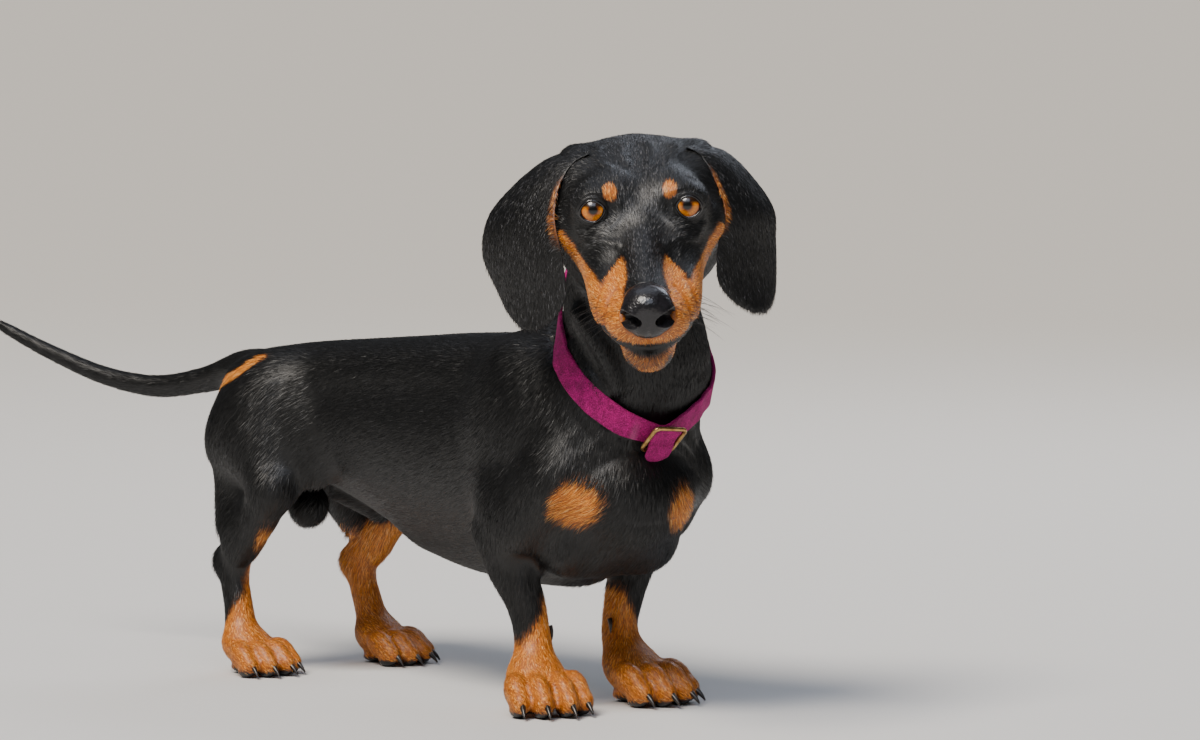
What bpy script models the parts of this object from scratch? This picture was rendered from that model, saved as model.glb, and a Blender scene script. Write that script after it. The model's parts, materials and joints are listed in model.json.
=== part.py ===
"""A smooth-haired dachshund, standing and looking at the viewer, as a life-size still model.

The body is described as forms: balls and strands of muscle and bone that swell into one another.
A mesh is drawn over them and settled on their common surface, and thin cuts then part it into
head, neck, trunk, tail, legs and paws. Ears, eyes, claws and the collar are pieces of their own.
Frame: +X runs forward along the pelvis, +Y to the dog's left, +Z up, and the floor is Z = 0.
"""

import math

import bmesh
import bpy
import numpy as np
from mathutils import Matrix, Vector
from mathutils.bvhtree import BVHTree

MM = 0.001

LEFT, RIGHT = 1, -1
SIDES = {"left": LEFT, "right": RIGHT}

# Driving sizes of the dog
TRUNK_LENGTH = 380 * MM  # tail set to breastbone tip, along the spine
STRAIGHT_LOIN = 100 * MM  # the stretch of spine that doesn't bend
SPINE_TURN = math.radians(20)  # how far the chest turns to the dog's right
SPINE_START = Vector((-180, 0, 0)) * MM
COAT_GAP = 0.3 * MM  # left between pieces that meet

# The head is described in its own frame: forward, left and up from between the eyes
HEAD_PLACE = Vector((234, -99, 304)) * MM
HEAD_TURN = math.radians(-45)
HEAD_NOD = math.radians(22)
HEAD_TILT = math.radians(3)

EYE_RADIUS = 10.2 * MM
EYE_SPREAD = 27 * MM  # from the midline of the head to the centre of an eye
SOCKET_RADIUS = EYE_RADIUS + 1.0 * MM  # at the corners of its facets
LID_OPENING = 6.8 * MM  # radius of the opening where it meets the eyeball
LID_OUTWARD = math.radians(6)  # how far the opening looks aside and up from the head's own axis
LID_UPWARD = math.radians(20)

# Each ear as a leaf: its thickness, how much its edges turn back, and stations down it. A station
# is forward, left and up from between the eyes on the level, its width, and the turn of its plane
EAR_THICKNESS = 4.0
EAR_CURL = 0.06
EAR_HANG = {
    RIGHT: [
        (-40, -36, 30, 26, 52),
        (-38, -48, 24, 30, 52),
        (-35, -61, 10, 40, 51),
        (-33, -70, -8, 56, 50),
        (-32, -70, -30, 68, 50),
        (-31, -64.5, -50, 63, 50),
        (-31, -63, -64, 42, 50),
        (-31, -63, -72, 14, 50),
    ],
    LEFT: [
        (-40, 35, 34, 26, 52),
        (-38, 46, 29, 30, 52),
        (-35, 57, 16, 40, 52),
        (-33, 67, -3, 52, 52),
        (-31, 66, -22, 62, 52),
        (-29, 66, -42, 62, 52),
        (-29, 69, -55, 42, 52),
        (-29, 71, -62, 14, 52),
    ],
}

# Each toe of a foot: forward and left of the sole's centre, and its splay in degrees
TOES = ((14, -18.5, -9), (22, -7.2, -3), (22, 7.2, 3), (14, 18.5, 9))
FOOT_TURN_OUT = 12
HIND_FOOT_SCALE = 0.86
FOOT_TOP = {"fore": 33 * MM, "hind": 26 * MM}  # where a paw is parted from its leg
FORE_STANCE = {RIGHT: 0, LEFT: -12}  # how far each forefoot stands ahead of its elbow's own place
HIND_STANCE = {
    # knee, hock and foot, each as along the spine, left of it and above the floor
    RIGHT: ((64, 53, 119), (20, 47, 66), (34, 49, 12)),
    LEFT: ((76, 53, 112), (38, 46, 60), (54, 48, 12)),
}
CLAW_BEND = math.radians(42)
CLAW_LENGTH = 15.5 * MM
CLAW_RADIUS = 2.6 * MM

# The collar is a loose loop that slopes down to the chest, wide where the neck is wider
COLLAR_CENTRE = Vector((168, -37, 213)) * MM
COLLAR_TURN = math.radians(-20.4)  # which way its lowest point faces
COLLAR_SLOPE = math.radians(48.4)
COLLAR_SIDE = 45 * MM  # half its width inside, and half its length down the slope
COLLAR_FRONT = 57.5 * MM
COLLAR_WIDTH = 17 * MM
COLLAR_THICKNESS = 2.6 * MM
COLLAR_STEPS = 48

# The buckle is a square wire frame near the lowest point, turned a little on the strap. The strap's
# free end lies in it and hangs over its lower bar
BUCKLE_PLACE = math.radians(1.5)
BUCKLE_ROLL = math.radians(-8)
BUCKLE_LENGTH = 24 * MM
BUCKLE_HEIGHT = 23 * MM
BUCKLE_WIRE = 2.8 * MM
BUCKLE_LIFT = 2.6 * MM
TONGUE_THICKNESS = 2.2
# Stations down the free end: along the frame, off the strap, half width
TONGUE_HANG = (
    (8, 1.6, 6.5), (4, 1.7, 8.6), (-1, 2.2, 8.8), (-5, 4.2, 8.8), (-10, 5.7, 8.4),
    (-13.5, 5.5, 7), (-16, 5.2, 4.4), (-17, 5.1, 1.6),
)

# How finely the body's mesh is drawn, and what share of thinning the face and feet are given
BODY_VOXEL = 3.0 * MM
BODY_TRIANGLES = 3950
SETTLE_ROUNDS = (6, 3)
FACE_REACH = 86 * MM
FACE_THINNING = 0.968
FEET_THINNING = 0.985


def head_frame():
    turn = Matrix.Rotation(HEAD_TURN, 4, "Z")
    nod = Matrix.Rotation(HEAD_NOD, 4, "Y")
    tilt = Matrix.Rotation(HEAD_TILT, 4, "X")
    return Matrix.Translation(HEAD_PLACE) @ turn @ nod @ tilt


HEAD = head_frame()


def on_head(forward, left, up):
    """A point given in millimetres from between the eyes."""
    return HEAD @ (Vector((forward, left, up)) * MM)


def spine_heading(along):
    bend = max(along - STRAIGHT_LOIN, 0) / (TRUNK_LENGTH - STRAIGHT_LOIN)
    return -bend * SPINE_TURN


def on_spine(along, left, up):
    """A point in millimetres: along the bent spine from the tail set, left of it, above the floor."""
    run = along * MM
    radius = (TRUNK_LENGTH - STRAIGHT_LOIN) / SPINE_TURN
    turn = -spine_heading(run)
    base = SPINE_START + Vector((min(run, STRAIGHT_LOIN), 0, 0))
    base += Vector((radius * math.sin(turn), -radius * (1 - math.cos(turn)), 0))
    side = Vector((math.sin(turn), math.cos(turn), 0))
    return base + side * left * MM + Vector((0, 0, up * MM))


def smooth_through(points, samples):
    """Points on a Catmull-Rom curve through rows of numbers, evenly spaced in its parameter."""
    rows = np.array(points, float)
    ends = np.vstack([2 * rows[0] - rows[1], rows, 2 * rows[-1] - rows[-2]])
    places = np.linspace(0, len(rows) - 1, samples)
    found = []
    for place in places:
        i = min(int(place), len(rows) - 2)
        t = place - i
        a, b, c, d = ends[i : i + 4]
        found.append(
            0.5
            * (
                2 * b
                + (c - a) * t
                + (2 * a - 5 * b + 4 * c - d) * t * t
                + (3 * b - a - 3 * c + d) * t**3
            )
        )
    return np.array(found)


class Ball:
    """An ellipsoid: half sizes along its own axes, which heading, pitch and roll turn."""

    def __init__(self, centre, sizes, blend=12, turn=(0, 0, 0), frame=None):
        self.centre = np.array(centre)
        self.sizes = np.array(sizes) * MM
        self.blend = blend * MM
        roll, pitch, heading = (math.radians(a) for a in turn)
        spin = Matrix.Rotation(heading, 3, "Z") @ Matrix.Rotation(pitch, 3, "Y")
        spin = spin @ Matrix.Rotation(roll, 3, "X")
        if frame is not None:
            spin = frame.to_3x3() @ spin
        self.axes = np.array(spin)
        self.reach = self.sizes.max()

    def distance(self, points):
        local = (points - self.centre) @ self.axes
        near = np.linalg.norm(local / self.sizes, axis=1)
        slope = np.linalg.norm(local / self.sizes**2, axis=1)
        return near * (near - 1) / np.maximum(slope, 1e-9)

    def bounds(self):
        return self.centre, self.reach

    def lumps(self):
        yield self.centre, self.axes, self.sizes


class Strand:
    """A tapering limb through stations of (point, half width, half depth), widest across the body."""

    def __init__(self, stations, blend=12, side=(0, 1, 0), samples=26):
        rows = [[*point, wide * MM, deep * MM] for point, wide, deep in stations]
        path = smooth_through(rows, samples)
        self.points, self.sizes = path[:, :3], path[:, 3:]
        self.blend = blend * MM
        along = np.gradient(self.points, axis=0)
        self.spacing = np.linalg.norm(along, axis=1)
        self.along = along / self.spacing[:, None]
        across = np.array(side, float) - self.along * (self.along @ np.array(side, float))[:, None]
        self.across = across / np.linalg.norm(across, axis=1)[:, None]
        self.depth = np.cross(self.along, self.across)

    def distance(self, points):
        gaps = ((points[:, None, :] - self.points[None]) ** 2).sum(axis=2)
        index = gaps.argmin(axis=1)
        step = ((points - self.points[index]) * self.along[index]).sum(axis=1) / self.spacing[index]
        place = np.clip(index + np.clip(step, -0.5, 0.5), 0, len(self.points) - 1)
        lower = np.minimum(place.astype(int), len(self.points) - 2)
        mix = (place - lower)[:, None]

        def between(rows):
            return rows[lower] * (1 - mix) + rows[lower + 1] * mix

        offset = points - between(self.points)
        sizes = between(self.sizes)
        radii = np.stack([sizes[:, 0], sizes[:, 1], sizes.min(axis=1)], axis=1)
        local = np.stack(
            [(offset * between(axis)).sum(1) for axis in (self.across, self.depth, self.along)],
            axis=1,
        )
        near = np.linalg.norm(local / radii, axis=1)
        slope = np.linalg.norm(local / radii**2, axis=1)
        return near * (near - 1) / np.maximum(slope, 1e-9)

    def bounds(self):
        centre = self.points.mean(axis=0)
        reach = np.linalg.norm(self.points - centre, axis=1).max() + self.sizes.max()
        return centre, reach

    def lumps(self):
        for i, point in enumerate(self.points):
            axes = np.stack([self.across[i], self.depth[i], self.along[i]], axis=1)
            yield point, axes, np.array([*self.sizes[i], self.sizes[i].min()])


def surface_field(forms, points):
    """Roughly how far each point is outside the forms, which swell into one another."""
    field = np.full(len(points), 1.0)
    for form in forms:
        centre, reach = form.bounds()
        close = np.linalg.norm(points - centre, axis=1) < reach + 30 * MM
        if not close.any():
            continue
        own = form.distance(points[close])
        old, blend = field[close], form.blend
        mix = np.clip(0.5 + 0.5 * (old - own) / blend, 0, 1)
        field[close] = old * (1 - mix) + own * mix - blend * mix * (1 - mix)
    return field


def trunk_forms():
    ribs = [
        # along, top, bottom, half width
        (6, 190, 138, 31),
        (26, 199, 127, 41),
        (50, 205, 120, 46),
        (85, 208, 113, 48),
        (120, 211, 102, 52),
        (160, 215, 88, 58),
        (210, 218, 78, 61),
        (265, 221, 76, 61),
        (310, 221, 80, 56),
        (345, 194, 92, 46),
        (360, 162, 104, 36),
    ]
    stations = []
    for along, top, bottom, wide in ribs:
        stations.append((on_spine(along, 0, (top + bottom) / 2), wide, (top - bottom) / 2))
    keel = [
        (on_spine(170, 0, 104), 28, 22),
        (on_spine(220, 0, 98), 33, 24),
        (on_spine(300, 0, 98), 29, 24),
        (on_spine(350, 0, 116), 26, 24),
        (on_spine(364, 0, 134), 21, 18),
    ]
    forms = [Strand(stations, samples=40), Strand(keel, blend=20)]
    for side in (LEFT, RIGHT):
        loin = [
            (on_spine(20, side * 20, 183), 22, 16),
            (on_spine(110, side * 20, 191), 24, 18),
            (on_spine(220, side * 22, 197), 26, 20),
            (on_spine(300, side * 18, 199), 22, 20),
        ]
        forms.append(Strand(loin, blend=14))
        forms += [
            # Shoulder blade, shoulder point, breast and the muscle behind the arm
            Ball(on_spine(300, side * 41, 176), (30, 18, 44), 18, (0, -22, -14)),
            Ball(on_spine(345, side * 38, 146), (20, 18, 25), 14, (0, 20, -18)),
            Ball(on_spine(360, side * 18, 134), (18, 21, 28), 12, (0, 10, -20)),
            Ball(on_spine(330, side * 24, 104), (30, 20, 24), 14, (0, -12, -18)),
            # Haunch, point of the buttock and the fold of the flank
            Ball(on_spine(46, side * 37, 156), (43, 23, 44), 16, (0, -14, 0)),
            Ball(on_spine(19, side * 29, 146), (19, 20, 38), 14, (0, 4, 0)),
            Ball(on_spine(80, side * 42, 138), (26, 8, 18), 14, (0, 30, 0)),
        ]
    forms += [
        # What hangs under the groin of a male dog
        Ball(on_spine(40, 0, 101), (14, 13, 14), 6),
        Strand([(on_spine(34, 0, 130), 10, 10), (on_spine(39, 0, 106), 11, 11)], 6),
        Strand([(on_spine(70, 0, 112), 8, 8), (on_spine(104, 0, 102), 8, 8)], 8),
    ]
    return forms


def neck_forms():
    stations = [
        (on_spine(285, 0, 168), 55, 56),
        (on_spine(325, 0, 182), 52, 52),
        (Vector((169, -33, 205)) * MM, 46, 44),
        (Vector((172, -39, 240)) * MM, 41.5, 41),
        (Vector((179, -44, 275)) * MM, 38.5, 40),
        (Vector((182, -48, 302)) * MM, 37, 38),
    ]
    crest = [
        (on_spine(278, 0, 206), 18, 16),
        (Vector((130, -24, 232)) * MM, 20, 18),
        (Vector((142, -26, 275)) * MM, 20, 18),
        (on_head(-74, 0, -22), 20, 18),
    ]
    across = (0.5, 0.87, 0)
    return [Strand(stations, blend=18, side=across), Strand(crest, blend=20, side=across)]


def head_forms():
    def ball(centre, sizes, blend=8, turn=(0, 0, 0)):
        return Ball(on_head(*centre), sizes, blend, turn, HEAD)

    left_axis = HEAD.to_3x3() @ Vector((0, 1, 0))

    def strand(stations, blend=8):
        placed = [(on_head(*point), wide, deep) for point, wide, deep in stations]
        return Strand(placed, blend, left_axis, samples=16)

    forms = [
        # Braincase, forehead, occiput and the throat behind the jaw
        ball((-50, 0, -14), (46, 43, 31), 14),
        ball((-17, 0, -7), (28, 30, 19.5), 14),
        ball((-82, 0, -24), (14, 17, 15), 14),
        ball((-46, 0, -38), (40, 30, 26), 16),
        # Muzzle down to the nose
        strand(
            [
                ((-6, 0, -20), 22, 21),
                ((24, 0, -26), 17.5, 22),
                ((54, 0, -28), 15.5, 19.5),
                ((80, 0, -29), 13.5, 17),
            ],
            12,
        ),
        ball((89, 0, -24.5), (11.5, 14.6, 14), 4),
        # Lower jaw and chin
        strand([((20, 0, -51), 19, 11), ((50, 0, -54), 17, 12), ((74, 0, -54), 15, 13.5)], 6),
    ]
    for side in (LEFT, RIGHT):
        forms += [
            # Cheek bone, jaw muscle, brow, lids and the hollow below the eye
            ball((-28, side * 30, -16), (32, 18, 20), 12, (0, 8, side * 14)),
            ball((-34, side * 27, -36), (28, 18.5, 25), 12),
            ball((-8, side * 19, 7), (14, 13, 8), 12, (0, 20, side * 20)),
            ball((-1.6, side * 26.8, 0), (12.0, 12.4, 12.2), 9),
            ball((4, side * 22, -18), (25, 12.5, 14), 12, (0, 6, -side * 12)),
            # Temple and the root of the ear
            ball((-44, side * 21, -3), (34, 21, 18), 12),
            ball((-46, side * 37, -3), (24, 11, 16), 14, (0, 25, 0)),
            # Upper lip and the jaw under it
            strand(
                [
                    ((-2, side * 25.5, -33), 11, 13),
                    ((28, side * 23, -33.5), 11, 14),
                    ((56, side * 19.5, -35), 12, 14.5),
                    ((80, side * 12.5, -35.5), 11, 11.5),
                ],
                11,
            ),
            strand(
                [
                    ((-32, side * 22, -50), 14, 14),
                    ((8, side * 18, -52), 11, 11),
                    ((46, side * 11, -54), 8, 8),
                ],
                8,
            ),
        ]
    return forms


def foreleg_forms(side):
    """Upper arm, bowed forearm, wrist and the broad forefoot, which turns out a little."""
    reach = FORE_STANCE[side]

    def at(along, left, up):
        return on_spine(along, side * left, up)

    heading = math.degrees(spine_heading(300 * MM)) + side * FOOT_TURN_OUT
    forms = [
        Strand(
            [(at(344, 42, 140), 17, 20), (at(312, 49, 120), 18, 23), (at(288, 51, 106), 14, 17)],
            14,
        ),
        Ball(at(300, 48, 126), (30, 17, 24), 12, (0, 28, -14)),
        Strand(
            [
                (at(288, 50, 106), 14.5, 16),
                (at(292 + reach * 0.3, 45, 88), 15, 17),
                (at(298 + reach * 0.7, 38, 64), 12, 13.5),
                (at(301 + reach, 35, 44), 11.5, 12.5),
                (at(305 + reach, 36, 28), 14, 13),
            ],
            8,
        ),
    ]
    forms += foot_forms(at(316 + reach, 39, 0), heading, 1.0)
    return forms


def foot_forms(place, heading, scale):
    """An arched foot of four toes with pads, whose soles lie on the floor."""
    turn = Matrix.Rotation(math.radians(heading), 3, "Z")

    def at(forward, left, up):
        return place + turn @ Vector((forward, left, up)) * MM * scale

    def sized(*sizes):
        return [size * scale for size in sizes]

    forms = [Ball(at(-4, 0, 19), sized(19, 19, 15), 8, (0, 12, heading))]
    for forward, left, splay in TOES:
        facing = heading + splay
        forms += [
            # Knuckle, end of the toe, and the pad under it
            Ball(at(forward - 4, left, 15.5), sized(14, 7.4, 10.5), 3, (0, 24, facing)),
            Ball(at(forward + 6, left * 1.06, 9), sized(9.5, 6.8, 8.5), 3, (0, 8, facing)),
            Ball(at(forward + 3, left * 1.04, 4.2), sized(8, 6.0, 5), 2, (0, 0, facing)),
        ]
    forms.append(Ball(at(-7, 0, 5.2), sized(11, 13, 6.2), 3, (0, 0, heading)))
    return forms


def hindleg_forms(side):
    """Thigh, bent knee, hock and the smaller hind foot; the left leg stands a little further forward."""
    knee, hock, foot = HIND_STANCE[side]

    def at(along, left, up):
        return on_spine(along, side * left, up)

    hip = (34, 44, 158)
    thigh = [
        (at(*hip), 22, 40),
        (at(*mid(knee, hip, 0.62)), 21, 26),
        (at(*knee), 14, 15),
    ]
    shank = [
        (at(*knee), 14, 15),
        (at(*mid(knee, hock, 0.35)), 12.5, 15),
        (at(*mid(knee, hock, 0.75)), 9.5, 12),
        (at(*hock), 9, 12),
    ]
    rear = [
        (at(16, 34, 132), 18, 20),
        (at(*mid(knee, hock, 0.55, 12)), 12, 17),
        (at(hock[0] + 3, hock[1], hock[2] + 14), 7, 8),
    ]
    metatarsus = [
        (at(*hock), 9.5, 11.5),
        (at(*mid(hock, foot, 0.5)), 9.5, 10.5),
        (at(foot[0] - 4, foot[1], 22), 11.5, 11),
    ]
    heading = side * 6
    forms = [
        Strand(thigh, 14),
        Strand(shank, 9),
        Strand(rear, 12),
        Strand(metatarsus, 6),
        Ball(at(hock[0] - 6, hock[1], hock[2] + 4), (8.5, 8, 10), 6),
    ]
    forms += foot_forms(at(foot[0] + 6, foot[1], 0), heading, HIND_FOOT_SCALE)
    return forms


def mid(first, second, share, back=0):
    """A place between two others, as (along, left, up)."""
    along, left, up = (a + (b - a) * share for a, b in zip(first, second))
    return along - back, left, up


def tail_forms():
    stations = [
        (on_spine(12, 0, 180), 20, 17),
        (on_spine(-12, -2, 186), 13.5, 12.5),
        (on_spine(-46, -6, 177), 9.6, 9.4),
        (on_spine(-85, -12, 171), 8.4, 8.2),
        (on_spine(-126, -20, 176), 7.2, 7),
        (on_spine(-168, -30, 190), 5, 5),
        (on_spine(-198, -38, 203), 2.8, 2.8),
        (on_spine(-208, -41, 208), 1.6, 1.6),
    ]
    return [Strand(stations, blend=14, samples=36)]


def fresh_scene():
    for obj in list(bpy.data.objects):
        bpy.data.objects.remove(obj)


def new_object(name, mesh, material=None):
    obj = bpy.data.objects.new(name, mesh)
    bpy.context.scene.collection.objects.link(obj)
    if material is not None:
        obj.data.materials.clear()
        obj.data.materials.append(material)
    return obj


def mesh_from(bm, name):
    mesh = bpy.data.meshes.new(name)
    bm.to_mesh(mesh)
    bm.free()
    return mesh


def evaluated_copy(obj, name):
    """The object's mesh with its modifiers applied, in place of the object."""
    bpy.context.view_layer.update()
    graph = bpy.context.evaluated_depsgraph_get()
    mesh = bpy.data.meshes.new_from_object(obj.evaluated_get(graph))
    mesh.name = name
    bpy.data.objects.remove(obj)
    return mesh


def rough_lumps(forms):
    bm = bmesh.new()
    for form in forms:
        for centre, axes, sizes in form.lumps():
            place = Matrix.Translation(Vector(centre))
            place = place @ Matrix(axes.tolist()).to_4x4() @ Matrix.Diagonal((*sizes, 1))
            bmesh.ops.create_icosphere(bm, subdivisions=2, radius=1.0, matrix=place)
    return mesh_from(bm, "lumps")


def settle(mesh, forms, rounds):
    """Moves the vertices on to the forms' common surface and keeps them evenly spread."""
    bm = bmesh.new()
    bm.from_mesh(mesh)
    for step in range(rounds):
        if step < rounds - 1:
            bmesh.ops.smooth_vert(
                bm, verts=bm.verts, factor=0.5, use_axis_x=True, use_axis_y=True, use_axis_z=True
            )
        bm.normal_update()
        places = np.array([vert.co for vert in bm.verts])
        normals = np.array([vert.normal for vert in bm.verts])
        gap = np.clip(surface_field(forms, places), -4 * MM, 4 * MM)
        places -= normals * gap[:, None]
        for vert, place in zip(bm.verts, places):
            vert.co = place
    bm.to_mesh(mesh)
    bm.free()


def thin_out(mesh):
    """Fewer triangles, kept closest where the face and the feet need them."""
    body = new_object("body", mesh)
    detail = body.vertex_groups.new(name="detail")
    face = on_head(20, 0, -20)
    for vert in mesh.vertices:
        on_face = (vert.co - face).length < FACE_REACH
        on_foot = vert.co.z < FOOT_TOP["fore"]
        share = FACE_THINNING if on_face else FEET_THINNING if on_foot else 1.0
        detail.add([vert.index], share, "REPLACE")
    mesh.calc_loop_triangles()
    thin = body.modifiers.new("Thin", "DECIMATE")
    thin.ratio = BODY_TRIANGLES / len(mesh.loop_triangles)
    thin.vertex_group = "detail"
    thin.vertex_group_factor = 1.0
    return evaluated_copy(body, "body")


def stand_on_floor(mesh):
    """Trims what is below the floor, so that every pad has a flat sole."""
    below = region([(Vector((0, 0, 0)), (0, 0, 1))], 0)
    return combined(mesh, below, "DIFFERENCE", "body")


def trim(bm, point, outward):
    """Takes away everything past a plane and closes the cut."""
    found = bmesh.ops.bisect_plane(
        bm, geom=bm.verts[:] + bm.edges[:] + bm.faces[:], dist=1e-7,
        plane_co=point, plane_no=outward, clear_outer=True,
    )
    rim = [item for item in found["geom_cut"] if isinstance(item, bmesh.types.BMEdge)]
    bmesh.ops.holes_fill(bm, edges=rim, sides=0)


def whole_body(forms):
    """One closed mesh over all the forms, its soles flat on the floor, with few triangles."""
    mesh = rough_lumps(forms)
    for rounds in SETTLE_ROUNDS:
        shell = new_object("shell", mesh)
        remesh = shell.modifiers.new("Join", "REMESH")
        remesh.mode = "VOXEL"
        remesh.voxel_size = BODY_VOXEL
        mesh = evaluated_copy(shell, "body")
        settle(mesh, forms, rounds)
    return stand_on_floor(thin_out(mesh))


def region(planes, grow):
    """A convex block bounded by planes, each a point and a direction outwards."""
    bm = bmesh.new()
    bmesh.ops.create_cube(bm, size=2.0)
    for point, outward in planes:
        outward = Vector(outward).normalized()
        trim(bm, Vector(point) + outward * grow, outward)
    bmesh.ops.recalc_face_normals(bm, faces=bm.faces)
    return mesh_from(bm, "region")


def combined(mesh, cutter_mesh, operation, name, folded=False):
    obj = new_object(name, mesh)
    cutter = new_object("cutter", cutter_mesh)
    cutter.hide_render = True
    cutter.display_type = "WIRE"
    cut = obj.modifiers.new("Cut", "BOOLEAN")
    cut.operation = operation
    cut.object = cutter
    cut.use_self = folded
    result = evaluated_copy(obj, name)
    bpy.data.objects.remove(cutter)
    return result


def part_off(rest, name, planes):
    """Parts one piece from the rest with a thin cut; returns both meshes."""
    piece = combined(rest.copy(), region(planes, -COAT_GAP / 2), "INTERSECT", name, folded=True)
    rest = combined(rest, region(planes, COAT_GAP / 2), "DIFFERENCE", "rest", folded=True)
    return piece, rest


def grown(mesh, by):
    """A copy whose surface stands a little further out."""
    bm = bmesh.new()
    bm.from_mesh(mesh)
    bm.normal_update()
    for vert in bm.verts:
        vert.co += vert.normal * by
    return mesh_from(bm, "grown")


def head_direction(forward, left, up):
    return HEAD.to_3x3() @ Vector((forward, left, up))


def spine_direction(along, forward, left, up):
    turn = Matrix.Rotation(spine_heading(along * MM), 3, "Z")
    return turn @ Vector((forward, left, up))


def body_cuts():
    """Each piece of the body with the planes that bound it, in the order of cutting."""
    nape = head_direction(-0.72, 0, -0.69)
    above_collar = collar_frame(0)[1]
    yield "nose", [
        (on_head(86, 0, 0), head_direction(-1, 0, 0)),
        (on_head(0, 0, -35), head_direction(0, 0, -1)),
    ]
    yield "lower_jaw", [
        (on_head(6, 0, 0), head_direction(-1, 0, 0)),
        (on_head(92, 0, -44), head_direction(0, 0, 1)),
        (on_head(0, 0, -90), head_direction(0, 0, -1)),
    ]
    yield "head", [
        (on_head(-62, 0, -28), nape),
        (on_head(0, 0, -95), head_direction(0, 0, -1)),
    ]
    yield "neck", [(COLLAR_CENTRE - above_collar * 20 * MM, -above_collar)]
    yield "tail", [
        (on_spine(-14, 0, 0), (1, 0, 0)),
        (on_spine(0, 0, 158), (0, 0, -1)),
        (on_spine(0, 24, 0), (0, 1, 0)),
        (on_spine(-14, -24, 0), (0.3, -1, 0)),
    ]
    for name, side in SIDES.items():
        yield "foreleg_" + name, [
            (on_spine(300, side * 40, 112), spine_direction(300, 0, -side * 0.86, 0.5)),
            (on_spine(300, side * 40, 138), spine_direction(300, 0, 0, 1)),
            (on_spine(258, side * 40, 112), spine_direction(300, -1, 0, 0)),
            (on_spine(300, side * 12, 0), spine_direction(300, 0, -side, 0)),
        ]
    for name, side in SIDES.items():
        yield "hindleg_" + name, [
            (on_spine(40, side * 25, 120), (0, -side * 0.9, 0.42)),
            (on_spine(40, side * 40, 158), (0.25, 0, 0.97)),
            (on_spine(112, side * 40, 112), (1, 0, 0)),
            (on_spine(40, side * 18, 0), (0, -side, 0)),
        ]


def ear_mesh(side):
    """A leaf of skin that hangs from the skull, broad and round below, its outer face convex."""
    flat_head = Matrix.Translation(HEAD_PLACE) @ Matrix.Rotation(HEAD_TURN, 4, "Z")
    around, along = 12, 12
    rows = smooth_through(EAR_HANG[side], along)
    bm = bmesh.new()
    rings = []
    for forward, left, up, width, turn in rows:
        angle = math.radians(turn)
        across = Vector((math.sin(angle), -side * math.cos(angle), 0))
        face = Vector((math.cos(angle), side * math.sin(angle), 0))
        thick = EAR_THICKNESS * min(1, width / 30)
        ring = []
        for step in range(around):
            a = 2 * math.pi * step / around
            x, y = math.cos(a) * width / 2, math.sin(a) * thick / 2
            y -= EAR_CURL * width * (2 * x / width) ** 2
            place = Vector((forward, left, up)) + across * x + face * y
            ring.append(bm.verts.new(flat_head @ (place * MM)))
        rings.append(ring)
    edges = []
    for ring in rings:
        edges.append([bm.edges.new((ring[i], ring[(i + 1) % around])) for i in range(around)])
    for first, second in zip(edges, edges[1:]):
        bmesh.ops.bridge_loops(bm, edges=first + second)
    for ring in (edges[0], edges[-1]):
        bmesh.ops.holes_fill(bm, edges=ring, sides=0)
    bmesh.ops.triangulate(bm, faces=bm.faces)
    bmesh.ops.recalc_face_normals(bm, faces=bm.faces)
    return mesh_from(bm, "ear")


def eye_mesh(side, radius, rounds):
    """A ball at the eye's place; more rounds of dividing make it rounder."""
    bm = bmesh.new()
    place = Matrix.Translation(on_head(0, side * EYE_SPREAD / MM, 0))
    bmesh.ops.create_icosphere(bm, subdivisions=rounds, radius=radius, matrix=place)
    return mesh_from(bm, "eye")


def lid_opening(side):
    """The round opening between the lids, which looks up and a little outwards."""
    bm = bmesh.new()
    rise = Matrix.Rotation(math.pi / 2 - LID_UPWARD, 4, "Y")
    outwards = Matrix.Rotation(side * LID_OUTWARD, 4, "Z") @ rise
    place = HEAD @ Matrix.Translation((0, side * EYE_SPREAD, 0)) @ outwards
    bmesh.ops.create_cone(
        bm, cap_ends=True, segments=18, radius1=LID_OPENING, radius2=LID_OPENING * 1.3,
        depth=16 * MM, matrix=place @ Matrix.Translation((0, 0, 14 * MM)),
    )
    return mesh_from(bm, "opening")


def claw_mesh(place, heading, pitch, length, thick):
    """A curved claw that starts inside the toe and hooks down to a blunt point."""
    bm = bmesh.new()
    rings, sides = 5, 6
    turn = Matrix.Rotation(heading, 4, "Z") @ Matrix.Rotation(pitch, 4, "Y")
    loops = []
    for i in range(rings):
        t = i / (rings - 1)
        bend = t * CLAW_BEND
        centre = Vector((math.sin(bend), 0, math.cos(bend) - 1)) * (length / CLAW_BEND)
        radius = thick * (1 - 0.8 * t**1.4)
        axes = Matrix.Translation(place) @ turn @ Matrix.Translation(centre)
        axes = axes @ Matrix.Rotation(bend, 4, "Y") @ Matrix.Rotation(math.pi / 2, 4, "Y")
        ring = bmesh.ops.create_circle(bm, segments=sides, radius=radius, matrix=axes)["verts"]
        loops.append([edge for edge in bm.edges if edge.verts[0] in ring and edge.verts[1] in ring])
    for first, second in zip(loops, loops[1:]):
        bmesh.ops.bridge_loops(bm, edges=first + second)
    for loop in (loops[0], loops[-1]):
        bmesh.ops.holes_fill(bm, edges=loop, sides=0)
    bmesh.ops.triangulate(bm, faces=bm.faces)
    bmesh.ops.recalc_face_normals(bm, faces=bm.faces)
    return mesh_from(bm, "claw")


def foot_places():
    """Where each foot stands: its limb and side, the centre of its sole, its heading and size."""
    for name, side in SIDES.items():
        reach = FORE_STANCE[side]
        heading = math.degrees(spine_heading(300 * MM)) + side * FOOT_TURN_OUT
        yield "fore", name, on_spine(316 + reach, side * 39, 0), heading, 1.0
    for name, side in SIDES.items():
        foot = HIND_STANCE[side][2]
        yield "hind", name, on_spine(foot[0] + 6, side * foot[1], 0), side * 6, HIND_FOOT_SCALE


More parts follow.
